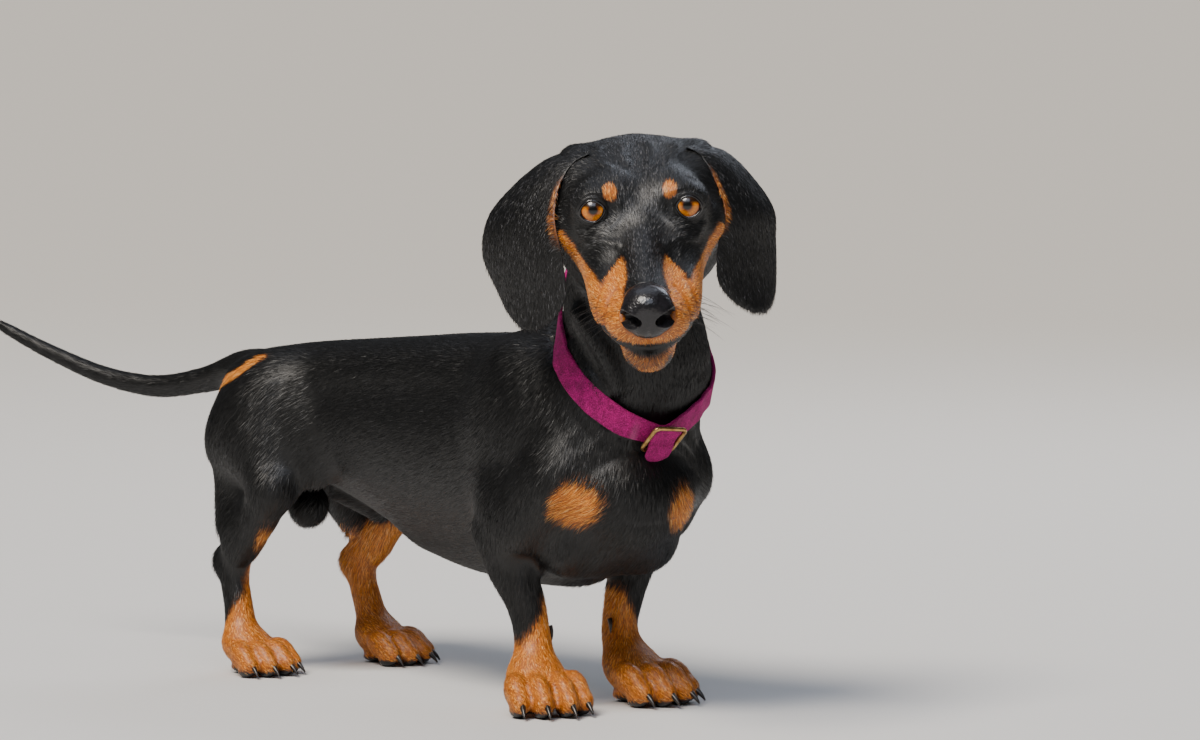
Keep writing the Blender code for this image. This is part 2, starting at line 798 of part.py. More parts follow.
def collar_frame(angle):
    """Outward and up directions of the collar's plane, at an angle from the throat to the left."""
    forward = Vector((math.cos(COLLAR_TURN), math.sin(COLLAR_TURN), 0))
    side = Vector((-forward.y, forward.x, 0))
    front = forward * math.cos(COLLAR_SLOPE) - Vector((0, 0, math.sin(COLLAR_SLOPE)))
    outward = front * math.cos(angle) + side * math.sin(angle)
    return outward, front.cross(side).normalized()


def collar_reach(tree):
    """How far both edges of the collar are from its middle, clear of the skin, round the neck."""
    angles = np.linspace(0, 2 * math.pi, COLLAR_STEPS, endpoint=False)
    loop = ((np.cos(angles) / COLLAR_FRONT) ** 2 + (np.sin(angles) / COLLAR_SIDE) ** 2) ** -0.5
    edges = []
    for shift in (-COLLAR_WIDTH / 2, 0, COLLAR_WIDTH / 2):
        found = []
        for angle in angles:
            outward, up = collar_frame(angle)
            start = COLLAR_CENTRE + up * shift
            hit = tree.ray_cast(start + outward * 120 * MM, -outward)
            found.append((hit[0] - start).dot(outward) + COAT_GAP * 2)
        found = np.maximum(found, loop)
        shifts = [np.roll(found, k) for k in range(-3, 4)]
        edges.append(np.maximum(np.mean(shifts, axis=0), found))
    low, middle, high = edges
    lift = np.maximum(middle - (low + high) / 2, 0)
    lift = np.max([np.roll(lift, k) for k in (-1, 0, 1)], axis=0)
    return low + lift, high + lift


def collar_section(reach, angle):
    """The collar's inner edges at an angle, and the direction off the skin there."""
    place = angle / (2 * math.pi) * COLLAR_STEPS
    step = math.floor(place)
    share = place - step
    outward, up = collar_frame(angle)
    points = []
    for edge, shift in zip(reach, (-COLLAR_WIDTH / 2, COLLAR_WIDTH / 2)):
        first, second = edge[step % COLLAR_STEPS], edge[(step + 1) % COLLAR_STEPS]
        points.append(COLLAR_CENTRE + up * shift + outward * (first * (1 - share) + second * share))
    across = (points[1] - points[0]).normalized()
    away = (outward - across * outward.dot(across)).normalized()
    return points[0], points[1], away


def skin_over(bm, rings, closed):
    """Faces between rings of vertices, with the first and last capped or joined."""
    pairs = list(zip(rings, rings[1:] + rings[:1])) if closed else list(zip(rings, rings[1:]))
    for first, second in pairs:
        for k in range(len(first)):
            after = (k + 1) % len(first)
            bm.faces.new((first[k], first[after], second[after], second[k]))
    if not closed:
        bm.faces.new(rings[0])
        bm.faces.new(rings[-1])
    bmesh.ops.recalc_face_normals(bm, faces=bm.faces)


def collar_mesh(reach):
    bm = bmesh.new()
    rings = []
    for i in range(COLLAR_STEPS):
        bottom, top, away = collar_section(reach, 2 * math.pi * i / COLLAR_STEPS)
        thick = away * COLLAR_THICKNESS
        rings.append([bm.verts.new(corner) for corner in (bottom, top, top + thick, bottom + thick)])
    skin_over(bm, rings, closed=True)
    bmesh.ops.triangulate(bm, faces=bm.faces)
    return mesh_from(bm, "collar")


def buckle_frame(reach):
    """The buckle's own axes: round the neck, up across the strap, and away from it."""
    bottom, top, away = collar_section(reach, BUCKLE_PLACE)
    across = (top - bottom).normalized()
    axes = Matrix((across.cross(away), across, away)).transposed().to_4x4()
    centre = (bottom + top) / 2 + away * COLLAR_THICKNESS
    return Matrix.Translation(centre) @ axes @ Matrix.Rotation(BUCKLE_ROLL, 4, "Z")


def buckle_mesh(reach):
    bm = bmesh.new()
    back, front = BUCKLE_LIFT - BUCKLE_WIRE / 2, BUCKLE_LIFT + BUCKLE_WIRE / 2
    sides = ((0, back), (0, front), (BUCKLE_WIRE, front), (BUCKLE_WIRE, back))
    rings = []
    for x, y in ((1, 1), (-1, 1), (-1, -1), (1, -1)):
        ring = []
        for inset, level in sides:
            corner = x * (BUCKLE_LENGTH / 2 - inset), y * (BUCKLE_HEIGHT / 2 - inset), level
            ring.append(bm.verts.new(corner))
        rings.append(ring)
    skin_over(bm, rings, closed=True)
    bmesh.ops.bevel(
        bm, geom=bm.edges[:], offset=0.5 * MM, offset_type="OFFSET", segments=1, profile=0.5,
        affect="EDGES", material=-1,
    )
    bmesh.ops.triangulate(bm, faces=bm.faces)
    bm.transform(buckle_frame(reach))
    return mesh_from(bm, "buckle")


def tongue_mesh(reach):
    """The strap's free end, with a rounded tip."""
    bm = bmesh.new()
    rings = []
    half = TONGUE_THICKNESS / 2
    for along, off, wide in TONGUE_HANG:
        corners = ((-wide, -half), (wide, -half), (wide, half), (-wide, half))
        rings.append([bm.verts.new(Vector((x, along, off + z)) * MM) for x, z in corners])
    skin_over(bm, rings, closed=False)
    bmesh.ops.triangulate(bm, faces=bm.faces)
    bm.transform(buckle_frame(reach))
    return mesh_from(bm, "tongue")


def material(name, colour, roughness, metallic=0.0):
    made = bpy.data.materials.new(name)
    made.use_nodes = True
    shader = made.node_tree.nodes["Principled BSDF"]
    shader.inputs["Base Color"].default_value = (*colour, 1.0)
    shader.inputs["Roughness"].default_value = roughness
    shader.inputs["Metallic"].default_value = metallic
    made.diffuse_color = (*colour, 1.0)
    return made


def body_pieces():
    """The whole body, parted by thin cuts."""
    forms = trunk_forms() + neck_forms() + head_forms() + tail_forms()
    for side in (LEFT, RIGHT):
        forms += foreleg_forms(side) + hindleg_forms(side)
    rest = whole_body(forms)
    pieces = {}
    for name, planes in body_cuts():
        pieces[name], rest = part_off(rest, name, planes)
    pieces["trunk"] = rest
    for limb, top in FOOT_TOP.items():
        for side_name in SIDES:
            leg = f"{limb}leg_{side_name}"
            paw = f"{limb}paw_{side_name}"
            pieces[paw], pieces[leg] = part_off(pieces[leg], paw, [((0, 0, top), (0, 0, 1))])
    return pieces


def largest_body(mesh):
    """The mesh without the slivers that a cut leaves beside its biggest body."""
    bm = bmesh.new()
    bm.from_mesh(mesh)
    waiting = set(bm.verts)
    biggest = set()
    while waiting:
        body = {waiting.pop()}
        fresh = list(body)
        while fresh:
            vert = fresh.pop()
            linked = {edge.other_vert(vert) for edge in vert.link_edges} & waiting
            waiting -= linked
            body |= linked
            fresh += linked
        biggest = max(biggest, body, key=len)
    bmesh.ops.delete(bm, geom=[vert for vert in bm.verts if vert not in biggest], context="VERTS")
    return mesh_from(bm, mesh.name)


def without(mesh, name, *neighbours):
    """The mesh with its neighbours, and a thin gap round them, cut out of it."""
    for neighbour in neighbours:
        mesh = combined(mesh, grown(neighbour, COAT_GAP), "DIFFERENCE", name)
    return largest_body(mesh)


def add_eyes(pieces):
    for name, side in SIDES.items():
        head = combined(pieces["head"], eye_mesh(side, SOCKET_RADIUS, 2), "DIFFERENCE", "head")
        pieces["head"] = combined(head, lid_opening(side), "DIFFERENCE", "head")
        pieces["eye_" + name] = eye_mesh(side, EYE_RADIUS, 3)


def add_ears(pieces):
    for name, side in SIDES.items():
        pieces["ear_" + name] = without(ear_mesh(side), "ear", pieces["head"], pieces["neck"])


def add_claws(pieces):
    """A claw at the end of each toe, and a dewclaw on the inner side of each forearm."""
    for limb, name, place, heading, scale in foot_places():
        turn = Matrix.Rotation(math.radians(heading), 3, "Z")
        for toe, (forward, left, splay) in enumerate(TOES, start=1):
            root = place + turn @ Vector((forward + 8, left * 1.06, 10)) * MM * scale
            facing = math.radians(heading + splay)
            claw = claw_mesh(root, facing, math.radians(12), CLAW_LENGTH * scale, CLAW_RADIUS * scale)
            pieces[f"claw_{limb}_{name}_{toe}"] = without(claw, "claw", pieces[f"{limb}paw_{name}"])
    for name, side in SIDES.items():
        root = on_spine(305 + FORE_STANCE[side], side * 25, 50)
        facing = spine_heading(300 * MM) - side * math.radians(30)
        claw = claw_mesh(root, facing, math.radians(52), CLAW_LENGTH, CLAW_RADIUS)
        near = pieces["foreleg_" + name], pieces["forepaw_" + name]
        pieces[f"claw_fore_{name}_dew"] = without(claw, "claw", *near)


def add_collar(pieces):
    whole = bmesh.new()
    for name in ("neck", "trunk", "head", "lower_jaw"):
        whole.from_mesh(pieces[name])
    tree = BVHTree.FromBMesh(whole)
    whole.free()
    reach = collar_reach(tree)
    made = {"strap": collar_mesh(reach), "tongue": tongue_mesh(reach), "buckle": buckle_mesh(reach)}
    for name, mesh in made.items():
        pieces["collar_" + name] = without(mesh, name, pieces["neck"], pieces["trunk"])


def centre_on_floor(pieces):
    """Brings the middle of the whole model's box over the origin, and its lowest point to Z = 0."""
    points = np.array([vert.co for mesh in pieces.values() for vert in mesh.vertices])
    low, high = points.min(axis=0), points.max(axis=0)
    shift = Vector((-(low[0] + high[0]) / 2, -(low[1] + high[1]) / 2, -low[2]))
    for mesh in pieces.values():
        mesh.transform(Matrix.Translation(shift))


def finishes():
    """The material of each piece, by the first word of its name; the coat is black elsewhere."""
    tan = material("tan coat", (0.45, 0.17, 0.04), 0.55)
    felt = material("magenta strap", (0.35, 0.02, 0.15), 0.7)
    return {
        "": material("black coat", (0.012, 0.012, 0.014), 0.4),
        "nose": material("nose leather", (0.02, 0.018, 0.02), 0.35),
        "eye": material("amber eye", (0.5, 0.22, 0.03), 0.1),
        "claw": material("claw horn", (0.03, 0.025, 0.02), 0.4),
        "forepaw": tan,
        "hindpaw": tan,
        "lower": tan,
        "collar": felt,
        "collar_buckle": material("satin brass", (0.6, 0.45, 0.25), 0.35, 1.0),
    }


def main():
    fresh_scene()
    pieces = body_pieces()
    add_eyes(pieces)
    add_ears(pieces)
    add_claws(pieces)
    add_collar(pieces)
    centre_on_floor(pieces)
    looks = finishes()
    for name, mesh in pieces.items():
        finish = looks.get(name) or looks.get(name.split("_")[0]) or looks[""]
        new_object(name, mesh, finish)


if __name__ == "__main__":
    main()
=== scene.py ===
"""The looks of a smooth-haired dachshund, a still life-size model that stands and looks at the viewer.

One skin is drawn over the same forms as the solids and lies inside them by the depth of the coat. The
coat is short tufts of mesh that follow the lie of the hair. Eyes, lids, nose, claws and the collar are
pieces of their own.
"""

import json
import math
from functools import partial

import bmesh
import bpy
import numpy as np
from bpy.props import FloatProperty, FloatVectorProperty, IntProperty, PointerProperty
from mathutils import Matrix, Vector, noise
from mathutils.bvhtree import BVHTree

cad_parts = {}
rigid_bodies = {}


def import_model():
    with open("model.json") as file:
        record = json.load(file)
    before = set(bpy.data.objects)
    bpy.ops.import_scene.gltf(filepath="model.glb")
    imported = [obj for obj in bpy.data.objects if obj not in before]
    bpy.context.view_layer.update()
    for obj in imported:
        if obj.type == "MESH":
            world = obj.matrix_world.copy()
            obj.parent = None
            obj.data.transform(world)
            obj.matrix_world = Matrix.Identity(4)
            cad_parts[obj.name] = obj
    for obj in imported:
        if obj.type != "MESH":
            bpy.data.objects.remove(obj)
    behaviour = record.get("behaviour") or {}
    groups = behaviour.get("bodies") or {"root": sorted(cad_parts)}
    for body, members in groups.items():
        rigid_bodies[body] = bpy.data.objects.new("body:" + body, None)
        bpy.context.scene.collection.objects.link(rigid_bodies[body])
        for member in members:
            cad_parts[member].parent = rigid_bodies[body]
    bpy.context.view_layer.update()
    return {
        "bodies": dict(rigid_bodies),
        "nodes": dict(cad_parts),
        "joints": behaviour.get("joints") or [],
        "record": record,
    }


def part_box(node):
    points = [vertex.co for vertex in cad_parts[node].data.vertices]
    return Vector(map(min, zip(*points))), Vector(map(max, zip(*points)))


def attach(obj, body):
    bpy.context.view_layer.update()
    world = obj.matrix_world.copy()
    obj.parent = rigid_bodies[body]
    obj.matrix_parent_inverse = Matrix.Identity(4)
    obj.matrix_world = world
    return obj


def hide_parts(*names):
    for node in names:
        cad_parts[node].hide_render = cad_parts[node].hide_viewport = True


bl_info = {
    "name": "Smooth-haired dachshund",
    "version": (1, 0, 0),
    "blender": (4, 5, 0),
    "location": "3D View > Sidebar > Dachshund",
    "description": "Skin, short coat, eyes, nose, claws and collar of a still life-size dachshund",
    "category": "Add Mesh",
}

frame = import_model()

MM = 0.001
SEED = 20
LEFT, RIGHT = 1, -1
SIDES = {"left": LEFT, "right": RIGHT}

# The forms are described in millimetres in the dog's own frame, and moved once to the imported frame
HEAD_PLACE = Vector((234, -99, 304)) * MM
HEAD_TURN = math.radians(-45)
HEAD_NOD = math.radians(22)
HEAD_TILT = math.radians(3)
TRUNK_LENGTH = 380 * MM
STRAIGHT_LOIN = 100 * MM
SPINE_TURN = math.radians(20)
SPINE_START = Vector((-180, 0, 0)) * MM
EYE_SPREAD = 27 * MM

EAR_HANG = {
    # forward, left and up from between the eyes on the level, width, and the turn of its plane
    RIGHT: [
        (-40, -36, 30, 26, 52),
        (-38, -48, 24, 30, 52),
        (-35, -61, 10, 43, 51),
        (-33, -70, -8, 61, 50),
        (-32, -70, -30, 73, 50),
        (-31, -64.5, -50, 63, 50),
        (-31, -63, -64, 42, 50),
        (-31, -63, -72, 14, 50),
    ],
    LEFT: [
        (-40, 35, 34, 26, 52),
        (-38, 46, 29, 30, 52),
        (-35, 57, 16, 40, 52),
        (-33, 67, -3, 52, 52),
        (-31, 66, -22, 62, 52),
        (-29, 66, -42, 62, 52),
        (-29, 69, -55, 42, 52),
        (-29, 71, -62, 14, 52),
    ],
}

TOES = ((14, -18.5, -9), (22, -7.2, -3), (22, 7.2, 3), (14, 18.5, 9))
FOOT_TURN_OUT = 12
HIND_FOOT_SCALE = 0.86
FORE_STANCE = {RIGHT: 0, LEFT: -12}
HIND_STANCE = {
    # knee, hock and foot, each as along the spine, left of it and above the floor
    RIGHT: ((64, 53, 119), (20, 47, 66), (34, 49, 12)),
    LEFT: ((76, 53, 112), (38, 46, 60), (54, 48, 12)),
}

COLLAR_CENTRE = Vector((168, -37, 213)) * MM
COLLAR_TURN = math.radians(-20.4)
COLLAR_SLOPE = math.radians(48.4)
COLLAR_BULGE = 1.45
COLLAR_STEPS = 48

FLESH = ["head", "lower_jaw", "neck", "trunk", "tail"]
FLESH += [f"{part}_{side}" for part in ("ear", "foreleg", "forepaw", "hindleg", "hindpaw") for side in SIDES]


def size_setting(name, description, default, **limits):
    """A setting for a length in metres."""
    return FloatProperty(name=name, description=description, default=default, unit="LENGTH", **limits)


def angle_setting(name, description, degrees):
    return FloatProperty(
        name=name, description=description, default=math.radians(degrees), subtype="ANGLE",
    )


class BodySettings(bpy.types.PropertyGroup):
    coat_depth: size_setting(
        "Coat depth", "From the tips of the coat down to the skin, on the body", 1.5 * MM, min=0
    )
    face_depth: size_setting(
        "Coat depth on the face", "The same on the face and the feet", 0.8 * MM, min=0
    )
    first_voxel: size_setting(
        "First mesh", "Edge of the mesh that is first settled on the forms", 3.2 * MM, min=1.5 * MM
    )
    voxel: size_setting(
        "Skin mesh", "Edge of the skin's mesh before the face is divided", 2.5 * MM, min=1.5 * MM
    )
    ear_thickness: size_setting(
        "Ear thickness", "Of the ear's skin, without its coat", 2.4 * MM, min=1 * MM
    )


class EyeSettings(bpy.types.PropertyGroup):
    radius: size_setting("Eyeball", "Its radius", 10.2 * MM)
    opening: angle_setting("Opening", "Half width of the opening between the lids", 43)
    opening_height: angle_setting("Opening height", "Half height of the opening", 39)
    rim: size_setting("Lid rim", "Radius of the bare black lid margin", 0.8 * MM)


class CoatSettings(bpy.types.PropertyGroup):
    # Real hairs are about 0.06 mm thick; a tuft is some ten side by side, so that they show
    length: size_setting("Length", "Of a tuft on the body", 6.5 * MM)
    width: size_setting("Width", "Of a tuft at its root, on the body", 0.6 * MM)
    fine: size_setting("Face length", "Of a tuft on the face and the feet", 3.0 * MM)
    fine_width: size_setting("Face width", "Of a tuft on the face and the feet", 0.42 * MM)
    body_tufts: IntProperty(name="Body tufts", description="Longer tufts on the body", default=190000)
    fine_tufts: IntProperty(name="Fine tufts", description="On head, ears and feet", default=125000)


class CollarSettings(bpy.types.PropertyGroup):
    width: size_setting("Width", "Of the strap", 17 * MM)
    thickness: size_setting("Thickness", "Of the strap", 2.6 * MM)
    side: size_setting("Half width inside", "Of the loop", 42 * MM)
    front: size_setting("Half length inside", "Of the loop, down its slope", 57.5 * MM)
    buckle_length: size_setting("Buckle length", "Outside", 24 * MM)
    buckle_height: size_setting("Buckle height", "Outside", 23 * MM)
    wire: size_setting("Wire", "Its thickness", 2.8 * MM)
    lift: size_setting("Lift", "Of the buckle off the strap", 2.6 * MM)
    buckle_place: angle_setting("Buckle's place", "Round the loop from its lowest point", 1.5)
    buckle_roll: angle_setting("Buckle's roll", "Its turn on the strap", -8)


class StageSettings(bpy.types.PropertyGroup):
    distance: size_setting("Camera distance", "On the level, from between the eyes", 3.5)
    height: size_setting("Camera height", "Above the floor", 0.468)
    aside: size_setting("Camera aside", "Left of the eyes, as the camera sees them", 23 * MM)
    down: angle_setting("Looks down", "The camera's pitch", 4.2)
    lens: FloatProperty(name="Lens", description="Focal length in mm", default=183.75)
    sun: FloatProperty(name="Sun", description="Strength of the main light", default=4.0)
    room: FloatProperty(name="Room", description="Strength of the light from all round", default=0.1)
    floor: FloatVectorProperty(
        name="Floor colour", description="Linear colour of the floor", size=3, subtype="COLOR",
        default=(0.72, 0.71, 0.69), min=0, max=1,
    )


def head_frame():
    turn = Matrix.Rotation(HEAD_TURN, 4, "Z")
    nod = Matrix.Rotation(HEAD_NOD, 4, "Y")
    tilt = Matrix.Rotation(HEAD_TILT, 4, "X")
    return Matrix.Translation(HEAD_PLACE) @ turn @ nod @ tilt


HEAD = head_frame()
HEAD_AXES = np.array(HEAD.to_3x3())


def eye_midpoint():
    corners = [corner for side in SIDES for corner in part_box("eye_" + side)]
    return sum(corners, Vector()) / len(corners)


# From the dog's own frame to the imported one
MOVE = eye_midpoint() - HEAD_PLACE


def on_head(forward, left, up):
    """A point given in millimetres from between the eyes."""
    return HEAD @ (Vector((forward, left, up)) * MM)


def head_direction(forward, left, up):
    return HEAD.to_3x3() @ Vector((forward, left, up))


def in_head(points):
    """Rows of points as millimetres forward, left and up from between the eyes."""
    return (points - np.array(HEAD_PLACE)) @ HEAD_AXES / MM


def spine_heading(along):
    bend = max(along - STRAIGHT_LOIN, 0) / (TRUNK_LENGTH - STRAIGHT_LOIN)
    return -bend * SPINE_TURN


def on_spine(along, left, up):
    """A point in millimetres: along the bent spine from the tail set, left of it, above the floor."""
    run = along * MM
    radius = (TRUNK_LENGTH - STRAIGHT_LOIN) / SPINE_TURN
    turn = -spine_heading(run)
    base = SPINE_START + Vector((min(run, STRAIGHT_LOIN), 0, 0))
    base += Vector((radius * math.sin(turn), -radius * (1 - math.cos(turn)), 0))
    side = Vector((math.sin(turn), math.cos(turn), 0))
    return base + side * left * MM + Vector((0, 0, up * MM))


def spine_direction(along, forward, left, up):
    return Matrix.Rotation(spine_heading(along * MM), 3, "Z") @ Vector((forward, left, up))


def in_spine(points):
    """Rows of points as millimetres along the spine, left of it and above the floor."""
    radius = (TRUNK_LENGTH - STRAIGHT_LOIN) / SPINE_TURN
    ahead = points[:, 0] - SPINE_START.x
    past = ahead - STRAIGHT_LOIN
    turn = np.arctan2(past, points[:, 1] + radius)
    bent = past > 0
    along = np.where(bent, STRAIGHT_LOIN + radius * turn, ahead)
    left = np.where(bent, np.hypot(past, points[:, 1] + radius) - radius, points[:, 1])
    return np.stack([along, left, points[:, 2]], axis=1) / MM


def part(value, whole, start=0):
    """How far a value has come of a whole, from a start at 0, kept between 0 and 1."""
    return np.clip(value / whole + start, 0, 1)


def smooth_through(points, samples):
    """Points on a Catmull-Rom curve through rows of numbers, evenly spaced in its parameter."""
    rows = np.array(points, float)
    ends = np.vstack([2 * rows[0] - rows[1], rows, 2 * rows[-1] - rows[-2]])
    found = []
    for place in np.linspace(0, len(rows) - 1, samples):
        i = min(int(place), len(rows) - 2)
        t = place - i
        a, b, c, d = ends[i : i + 4]
        bend = 2 * a - 5 * b + 4 * c - d
        found.append(0.5 * (2 * b + (c - a) * t + bend * t * t + (3 * b - a - 3 * c + d) * t**3))
    return np.array(found)


class Ball:
    """An ellipsoid: half sizes along its own axes, which heading, pitch and roll turn."""

    def __init__(self, centre, sizes, blend=12, turn=(0, 0, 0), frame=None):
        self.centre = np.array(centre)
        self.sizes = np.array(sizes) * MM
        self.blend = blend * MM
        roll, pitch, heading = (math.radians(a) for a in turn)
        spin = Matrix.Rotation(heading, 3, "Z") @ Matrix.Rotation(pitch, 3, "Y")
        spin = spin @ Matrix.Rotation(roll, 3, "X")
        if frame is not None:
            spin = frame.to_3x3() @ spin
        self.axes = np.array(spin)
        self.reach = self.sizes.max()

    def distance(self, points):
        local = (points - self.centre) @ self.axes
        near = np.linalg.norm(local / self.sizes, axis=1)
        slope = np.linalg.norm(local / self.sizes**2, axis=1)
        return near * (near - 1) / np.maximum(slope, 1e-9)

    def bounds(self):
        return self.centre, self.reach

    def lumps(self):
        yield self.centre, self.axes, self.sizes


class Strand:
    """A tapering limb through stations of (point, half width, half depth), widest across the body."""

    def __init__(self, stations, blend=12, side=(0, 1, 0), samples=26):
        rows = [[*point, wide * MM, deep * MM] for point, wide, deep in stations]
        path = smooth_through(rows, samples)
        self.points, self.sizes = path[:, :3], path[:, 3:]
        self.blend = blend * MM
        along = np.gradient(self.points, axis=0)
        self.spacing = np.linalg.norm(along, axis=1)
        self.along = along / self.spacing[:, None]
        across = np.array(side, float) - self.along * (self.along @ np.array(side, float))[:, None]
        self.across = across / np.linalg.norm(across, axis=1)[:, None]
        self.depth = np.cross(self.along, self.across)

    def distance(self, points):
        gaps = ((points[:, None, :] - self.points[None]) ** 2).sum(axis=2)
        index = gaps.argmin(axis=1)
        step = ((points - self.points[index]) * self.along[index]).sum(axis=1) / self.spacing[index]
        place = np.clip(index + np.clip(step, -0.5, 0.5), 0, len(self.points) - 1)
        lower = np.minimum(place.astype(int), len(self.points) - 2)
        mix = (place - lower)[:, None]

        def between(rows):
            return rows[lower] * (1 - mix) + rows[lower + 1] * mix

        offset = points - between(self.points)
        sizes = between(self.sizes)
        radii = np.stack([sizes[:, 0], sizes[:, 1], sizes.min(axis=1)], axis=1)
        axes = (self.across, self.depth, self.along)
        local = np.stack([(offset * between(axis)).sum(1) for axis in axes], axis=1)
        near = np.linalg.norm(local / radii, axis=1)
        slope = np.linalg.norm(local / radii**2, axis=1)
        return near * (near - 1) / np.maximum(slope, 1e-9)

    def bounds(self):
        centre = self.points.mean(axis=0)
        reach = np.linalg.norm(self.points - centre, axis=1).max() + self.sizes.max()
        return centre, reach

    def lumps(self):
        for i, point in enumerate(self.points):
            axes = np.stack([self.across[i], self.depth[i], self.along[i]], axis=1)
            yield point, axes, np.array([*self.sizes[i], self.sizes[i].min()])


def surface_field(forms, points, grooves=()):
    """Roughly how far each point is outside the forms, which swell into one another."""
    field = np.full(len(points), 1.0)
    for form in (*forms, *grooves):
        centre, reach = form.bounds()
        close = np.linalg.norm(points - centre, axis=1) < reach + 30 * MM
        if not close.any():
            continue
        own = form.distance(points[close])
        old, blend = field[close], form.blend
        if form in grooves:
            old = -old
        mix = np.clip(0.5 + 0.5 * (old - own) / blend, 0, 1)
        joined = old * (1 - mix) + own * mix - blend * mix * (1 - mix)
        field[close] = -joined if form in grooves else joined
    return field


def trunk_forms():
    ribs = [
        # along, top, bottom, half width
        (6, 190, 138, 31),
        (26, 199, 127, 41),
        (50, 205, 120, 46),
        (85, 208, 113, 48),
        (120, 211, 102, 52),
        (160, 215, 88, 58),
        (210, 218, 78, 61),
        (265, 221, 76, 61),
        (310, 221, 80, 56),
        (345, 194, 92, 46),
        (360, 162, 104, 36),
    ]
    stations = []
    for along, top, bottom, wide in ribs:
        stations.append((on_spine(along, 0, (top + bottom) / 2), wide, (top - bottom) / 2))
    keel = [
        (on_spine(170, 0, 104), 28, 22),
        (on_spine(220, 0, 98), 33, 24),
        (on_spine(300, 0, 98), 29, 24),
        (on_spine(350, 0, 116), 26, 24),
        (on_spine(364, 0, 134), 21, 18),
    ]
    forms = [Strand(stations, samples=40), Strand(keel, blend=20)]
    for side in (LEFT, RIGHT):
        loin = [
            (on_spine(20, side * 20, 183), 22, 16),
            (on_spine(110, side * 20, 191), 24, 18),
            (on_spine(220, side * 22, 197), 26, 20),
            (on_spine(300, side * 18, 199), 22, 20),
        ]
        forms.append(Strand(loin, blend=14))
        forms += [
            # Shoulder blade, shoulder point, breast and the muscle behind the arm
            Ball(on_spine(300, side * 41, 176), (30, 18, 44), 18, (0, -22, -14)),
            Ball(on_spine(345, side * 38, 146), (20, 18, 25), 14, (0, 20, -18)),
            Ball(on_spine(360, side * 18, 134), (18, 21, 28), 12, (0, 10, -20)),
            Ball(on_spine(330, side * 24, 104), (30, 20, 24), 14, (0, -12, -18)),
            # Haunch, point of the buttock and the fold of the flank
            Ball(on_spine(46, side * 37, 156), (43, 23, 44), 16, (0, -14, 0)),
            Ball(on_spine(19, side * 29, 146), (19, 20, 38), 14, (0, 4, 0)),
            Ball(on_spine(80, side * 42, 138), (26, 8, 18), 14, (0, 30, 0)),
        ]
    forms += [
        # What hangs under the groin of a male dog
        Ball(on_spine(40, 0, 101), (14, 13, 14), 6),
        Strand([(on_spine(34, 0, 130), 10, 10), (on_spine(39, 0, 106), 11, 11)], 6),
        Strand([(on_spine(70, 0, 112), 8, 8), (on_spine(104, 0, 102), 8, 8)], 8),
    ]
    return forms


def neck_forms():
    stations = [
        (on_spine(285, 0, 168), 55, 56),
        (on_spine(325, 0, 182), 52, 52),
        (Vector((169, -33, 205)) * MM, 46, 44),
        (Vector((172, -39, 240)) * MM, 41.5, 41),
        (Vector((179, -44, 275)) * MM, 38.5, 40),
        (Vector((182, -48, 302)) * MM, 37, 38),
    ]
    crest = [
        (on_spine(278, 0, 206), 18, 16),
        (Vector((130, -24, 232)) * MM, 20, 18),
        (Vector((142, -26, 275)) * MM, 20, 18),
        (on_head(-74, 0, -22), 20, 18),
    ]
    across = (0.5, 0.87, 0)
    return [Strand(stations, blend=18, side=across), Strand(crest, blend=20, side=across)]


def head_ball(centre, sizes, blend=8, turn=(0, 0, 0)):
    return Ball(on_head(*centre), sizes, blend, turn, HEAD)


def head_strand(stations, blend=8, samples=16):
    placed = [(on_head(*point), wide, deep) for point, wide, deep in stations]
    return Strand(placed, blend, head_direction(0, 1, 0), samples)


def head_forms():
    forms = [
        # Braincase, forehead, occiput and the throat behind the jaw
        head_ball((-50, 0, -14), (46, 43, 31), 14),
        head_ball((-17, 0, -7), (28, 30, 19.5), 14),
        head_ball((-82, 0, -24), (14, 17, 15), 14),
        head_ball((-46, 0, -38), (40, 30, 26), 16),
        # Muzzle down to the nose
        head_strand(
            [
                ((-6, 0, -20), 22, 21),
                ((24, 0, -26), 17.5, 22),
                ((54, 0, -28), 15.5, 19.5),
                ((80, 0, -29), 13.5, 17),
            ],
            12,
        ),
        head_ball((89, 0, -24.5), (11.5, 14.6, 14), 4),
        # Lower jaw and chin
        head_strand([((20, 0, -51), 19, 11), ((50, 0, -54), 17, 12), ((74, 0, -54), 15, 13.5)], 6),
    ]
    for side in (LEFT, RIGHT):
        forms += [
            # Cheek bone, jaw muscle, brow, lids and the hollow below the eye
            head_ball((-28, side * 31, -16), (32, 19.5, 20), 12, (0, 8, side * 14)),
            head_ball((-34, side * 28.5, -36), (28, 19.5, 25), 12),
            head_ball((-8, side * 19, 7), (14, 13, 8), 12, (0, 20, side * 20)),
            head_ball((-1.6, side * 26.8, 0), (12.0, 12.4, 12.2), 9),
            head_ball((4, side * 22, -18), (25, 12.5, 14), 12, (0, 6, -side * 12)),
            # Temple and the root of the ear
            head_ball((-44, side * 21, -3), (34, 21, 18), 12),
            head_ball((-46, side * 37, -3), (24, 11, 16), 14, (0, 25, 0)),
            # Upper lip and the jaw under it
            head_strand(
                [
                    ((-2, side * 25.5, -33), 11, 13),
                    ((28, side * 23, -33.5), 11, 14),
                    ((56, side * 19.5, -35), 12, 14.5),
                    ((80, side * 12.5, -35.5), 11, 11.5),
                ],
                11,
            ),
            head_strand(
                [
                    ((-32, side * 22, -50), 14, 14),
                    ((8, side * 18, -52), 11, 11),
                    ((46, side * 11, -54), 8, 8),
                ],
                8,
            ),
        ]
    return forms


